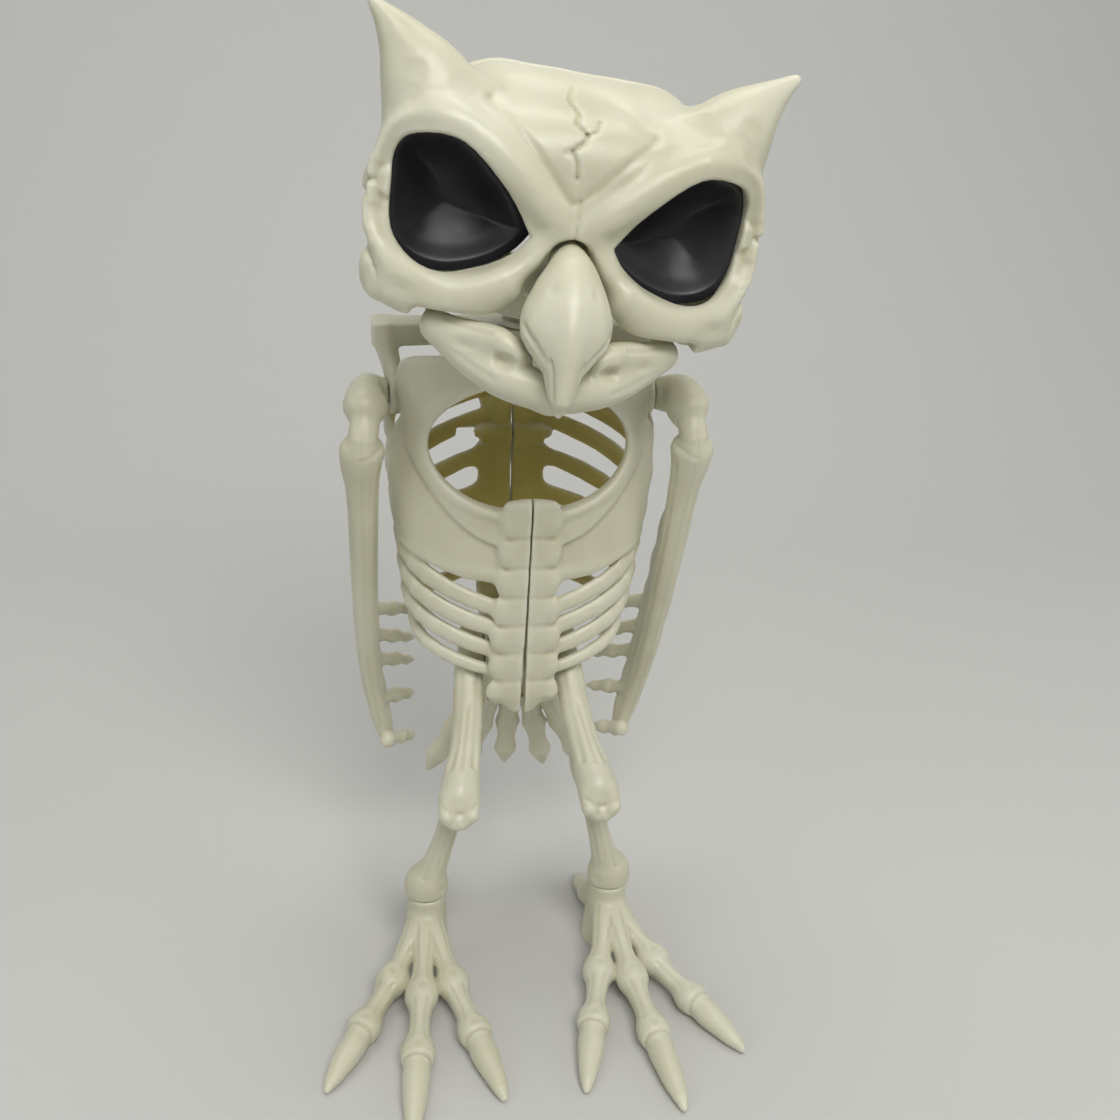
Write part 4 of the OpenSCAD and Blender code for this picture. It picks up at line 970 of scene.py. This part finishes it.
def leg():
    f = Field((5, -50, 10), (44, 16, 122), 0.5)
    f.add(Bone([[17, 7, 117, 4, 4], [17, 4, 112, 4.4, 7], [18, -2, 105, 5.2, 5.4], [19.2, -13, 96, 5.2, 4.8],
                [21, -24, 88, 5.3, 5], [23, -32, 81.4, 6.5, 5.8], [24, -37, 77, 6.7, 5.4]], 3), 0)
    # knee: the cup over the shin, and its two lower lobes
    f.add(Bone([[20.4, -36.6, 78, 3.4, 4], [20.4, -41, 73.6, 3.0, 3.4]], 2), 1.2)
    f.add(Bone([[27.6, -36.6, 78, 3.4, 4], [28.4, -41, 73.6, 3.0, 3.4]], 2), 1.2)
    f.add(Ball((24.6, -41.4, 71.6), (4.6, 3.2, 3.4)), 1.2)
    f.add(Bone([[20.5, -18, 88, 2, 2], [21, -19, 84, 4.4, 4.4], [21.8, -21, 78, 5, 5.2], [23.5, -24, 70, 4.2, 4.4],
                [27, -25.5, 56, 3.8, 3.9], [30.5, -24.5, 42, 4.5, 4.3], [32.4, -23.4, 36, 6.0, 5.4],
                [33.6, -22.7, 32, 7.8, 6.9], [33.8, -22.6, 29, 8.0, 7.0], [33.8, -22.6, 27, 7.5, 6.6]], 4), 1.0)
    f.add(Bone([[24.2, -36, 79, 4.8, 4.8], [23.4, -29, 76, 4.6, 5.6], [22.4, -22, 76, 4, 5]], 3), 2.4)
    f.add(Rod((12.6, 4, 112), (15.6, 4, 112), 6.6, edge=0.4), 1.0)
    for s in (-1, 1):
        f.groove([[18 + 3.4 * s, -6, 108], [19.2 + 3.4 * s, -16, 99.8], [21 + 3.4 * s, -26.6, 91.6],
                  [22.8 + 3.8 * s, -32, 86.6]], 1.4, 0.9)
        f.groove([[23.6 + 3.0 * s, -27.6, 66], [27 + 2.6 * s, -28.8, 56], [30 + 2.8 * s, -28, 44],
                  [31.6 + 3.4 * s, -28.2, 37]], 1.2, 0.75)
        f.press(Ball((24.6 + 1.9 * s, -44.6, 73), (1.5, 1.6, 2.4)), 0.5)
    f.groove([[18.6, -11, 102.4], [20.8, -23, 94], [23.2, -33.6, 87]], 1.0, 0.6)
    f.groove([[24, -28.6, 66], [27, -29.6, 56], [30.4, -28.8, 42]], 0.8, 0.5)
    f.groove([[19, -41.6, 77.4], [22.4, -44, 75.4], [26.6, -44, 75.4], [30.4, -41.6, 77.6]], 1.0, 0.55)
    f.press(Ball((24.2, -43, 79.4), (2.8, 2.6, 2.4)), 0.8)
    f.press(Ball((28.6, -27.4, 31.4), (2, 2.4, 2.2)), 0.6)
    f.ripple(11, 0.16, 31)
    f.trim((20, -40, 10), (44, -5, 36), 2, -1, 27.3, 0.5)
    f.add(Rod((33.8, -22.6, 12.4), (33.8, -22.6, 30), 3), 0.1)
    f.add(Rod((6.85, 4, 112), (15, 4, 112), 3), 0.1)
    f.cut([Rod((6, 4, 112), (15, 4, 112), 1.3), Rod((33.8, -22.6, 10), (33.8, -22.6, 22), 1.3)], 0.1)
    return f


v, q = leg().mesh()
v = relax(v, q)
piece("leg_left_moulding", v, q, "leg_left_limb", "bone_plastic", ["leg_left"])
piece("leg_right_moulding", v, q, "leg_right_limb", "bone_plastic", ["leg_right"], mirrored=True)


# ---- Foot ----


CLAW_ROOT = 0.705


def sizes(prof, t):
    """Height, half width and half depth of a toe at the fraction t of its length."""
    return (float(np.interp(t, [p[0] for p in prof], [p[i] for p in prof])) for i in (1, 2, 3))


def foot():
    f = Field((8, -110, -1), (74, 16, 28), 0.5)
    root = np.array([33.8, -22.6])
    front = [(0, 19, 5, 5), (0.14, 14.5, 4.3, 4.4), (0.25, 10.9, 3.6, 4.0), (0.315, 9.2, 4.3, 4.6), (0.355, 8.2, 5.6, 5.4),
             (0.385, 7.7, 5.8, 5.5), (0.425, 7.0, 4.4, 4.6), (0.5, 6.2, 3.6, 4.0), (0.575, 5.7, 3.9, 4.2),
             (0.625, 5.4, 5.3, 4.9), (0.655, 5.2, 5.9, 5.2), (0.69, 5.0, 5.1, 4.8), (0.72, 4.7, 4.4, 4.4), (0.76, 4.4, 4.6, 4.3),
             (0.82, 4.0, 4.3, 4.0), (0.9, 3.2, 3.4, 3.1), (0.96, 2.5, 2.4, 2.3), (1, 1.6, 1.2, 1.2)]
    rear = [(0, 17, 4.6, 4.6), (0.25, 11, 3.8, 4), (0.42, 7.2, 4.2, 4.4), (0.5, 6, 4.8, 4.8), (0.6, 5, 3.6, 3.8),
            (0.72, 4.2, 3.9, 3.8), (0.82, 3.2, 3, 2.8), (1, 1.2, 0.6, 0.6)]
    for tip, prof in (((69.7, -85), front), ((43.5, -106), front), ((13.6, -95), front), ((29, 12), rear)):
        span = np.array(tip) - root
        long = np.linalg.norm(span)
        n = np.array([-span[1], span[0]]) / long
        st = [list(root + span * s) + [z, w, d] for s, z, w, d in prof]
        f.add(Bone(st, 2), 1.3)
        if prof is front:
            # tendons along each toe, creases either side of the knuckles and at the claw's root
            for s0, s1 in ((0.1, 0.34), (0.43, 0.61)):
                for sd in (-1, 1):
                    pts = []
                    for t in np.linspace(s0, s1, 5):
                        z, w, d = sizes(prof, t)
                        c = root + span * t + n * sd * w * 0.55
                        pts.append([c[0], c[1], z + d * 0.84])
                    f.groove(pts, 0.9, 0.45)
            z, w, d = sizes(prof, CLAW_ROOT)
            ring = []
            for a in np.linspace(-20, 200, 9):
                c = root + span * (CLAW_ROOT - 0.012 * math.sin(math.radians(a))) + n * w * math.cos(math.radians(a))
                ring.append([c[0], c[1], z + d * math.sin(math.radians(a))])
            f.groove(ring, 1.0, 0.8)
            for t in (0.37, 0.645):
                z, w, d = sizes(prof, t)
                c = root + span * t
                f.press(Ball((c[0], c[1], z + d), (2.2, 2.2, 1.6)), 0.8)
    f.add(Rod((33.8, -22.6, 12), (33.8, -22.6, 26.6), 7.6, 6.6, 0.6), 2.0)
    f.add(Rod((33.8, -22.6, 0), (33.8, -22.6, 12.1), 8.5, 7.6, 0.4), 1.4)
    f.ripple(10, 0.16, 41)
    f.cut([Rod((33.8, -22.6, 1), (33.8, -22.6, 41), 3.1), Rod((33.8, -22.6, -1), (33.8, -22.6, 11.6), 5.6)], 0.2)
    f.keep(0.05 - f.all()[2], 0.3)
    f.trim((24, -33, 22), (44, -12, 28), 2, 1, 26.65, 0.3)
    return f


v, q = foot().mesh()
v = relax(v, q)
piece("foot_left_moulding", v, q, "foot_left_swivel", "bone_plastic", ["foot_left"])
piece("foot_right_moulding", v, q, "foot_right_swivel", "bone_plastic", ["foot_right"], mirrored=True)


# ---- Floor, backdrop, light and camera ----


def stage_material(name, colour):
    m, _, _, bsdf, _ = nodes_of(name)
    bsdf.inputs["Base Color"].default_value = (*colour, 1)
    bsdf.inputs["Roughness"].default_value = 0.75
    return m


profile = [(-2.2, 0.0), (0.35, 0.0)] + [(0.35 + 0.45 * math.sin(math.radians(a)), 0.45 - 0.45 * math.cos(math.radians(a)))
                                       for a in range(6, 91, 6)] + [(0.8, 2.6)]
cove = bpy.data.meshes.new("cove")
cove.from_pydata([(x, y, z) for y, z in profile for x in (-3.0, 3.0)], [],
                 [(2 * i, 2 * i + 1, 2 * i + 3, 2 * i + 2) for i in range(len(profile) - 1)])
for p in cove.polygons:
    p.use_smooth = True
cove.materials.append(stage_material("cove_paint", (0.56, 0.56, 0.54)))
cove = bpy.data.objects.new("cove", cove)
bpy.context.scene.collection.objects.link(cove)


def area(name, at, target, size, power, colour):
    d = bpy.data.lights.new(name, "AREA")
    d.shape, d.size, d.size_y, d.energy, d.color = "RECTANGLE", size[0], size[1], power, colour
    o = bpy.data.objects.new(name, d)
    o.location = at
    o.rotation_euler = (Vector(target) - Vector(at)).to_track_quat("-Z", "Y").to_euler()
    bpy.context.scene.collection.objects.link(o)
    return o


area("key", (0.1, -0.75, 1.1), (0, 0.0, 0.2), (0.7, 0.5), 9.0, (1.0, 0.985, 0.95))
area("fill_left", (-1.0, -0.5, 0.7), (0, 0, 0.15), (0.8, 0.8), 2.6, (0.96, 0.98, 1.0))
area("fill_right", (1.0, -0.2, 0.6), (0, 0, 0.15), (0.6, 0.8), 2.0, (0.98, 0.99, 1.0))
area("top", (0.0, 0.25, 1.3), (0, 0.1, 0.0), (0.9, 0.5), 5.0, (1.0, 0.99, 0.96))

world = bpy.data.worlds.new("World")
bpy.context.scene.world = world
world.use_nodes = True
world.node_tree.nodes["Background"].inputs[0].default_value = (0.9, 0.92, 0.95, 1)
world.node_tree.nodes["Background"].inputs[1].default_value = 0.2

cam = bpy.data.cameras.new("Camera")
cam.lens, cam.sensor_width, cam.sensor_fit = 39.02, 36.0, "HORIZONTAL"
cam.clip_start, cam.clip_end = 0.02, 20.0
camera = bpy.data.objects.new("Camera", cam)
azimuth, pitch, roll = math.radians(-11.02), math.radians(24.73), math.radians(3.31)
forward = np.array([-math.sin(azimuth) * math.cos(pitch), math.cos(azimuth) * math.cos(pitch), -math.sin(pitch)])
right = np.array([math.cos(azimuth), math.sin(azimuth), 0])
up = np.cross(right, forward)
right, up = right * math.cos(roll) + up * math.sin(roll), up * math.cos(roll) - right * math.sin(roll)
turn = Matrix([[right[i], up[i], -forward[i], 0] for i in range(3)] + [[0, 0, 0, 1]])
camera.matrix_world = Matrix.Translation((-0.0598, (-374.1 + SHIFT_Y) / 1000, 0.3237)) @ turn
bpy.context.scene.collection.objects.link(camera)
bpy.context.scene.camera = camera
bpy.context.scene.view_settings.view_transform = "Standard"
bpy.context.scene.view_settings.look = "None"
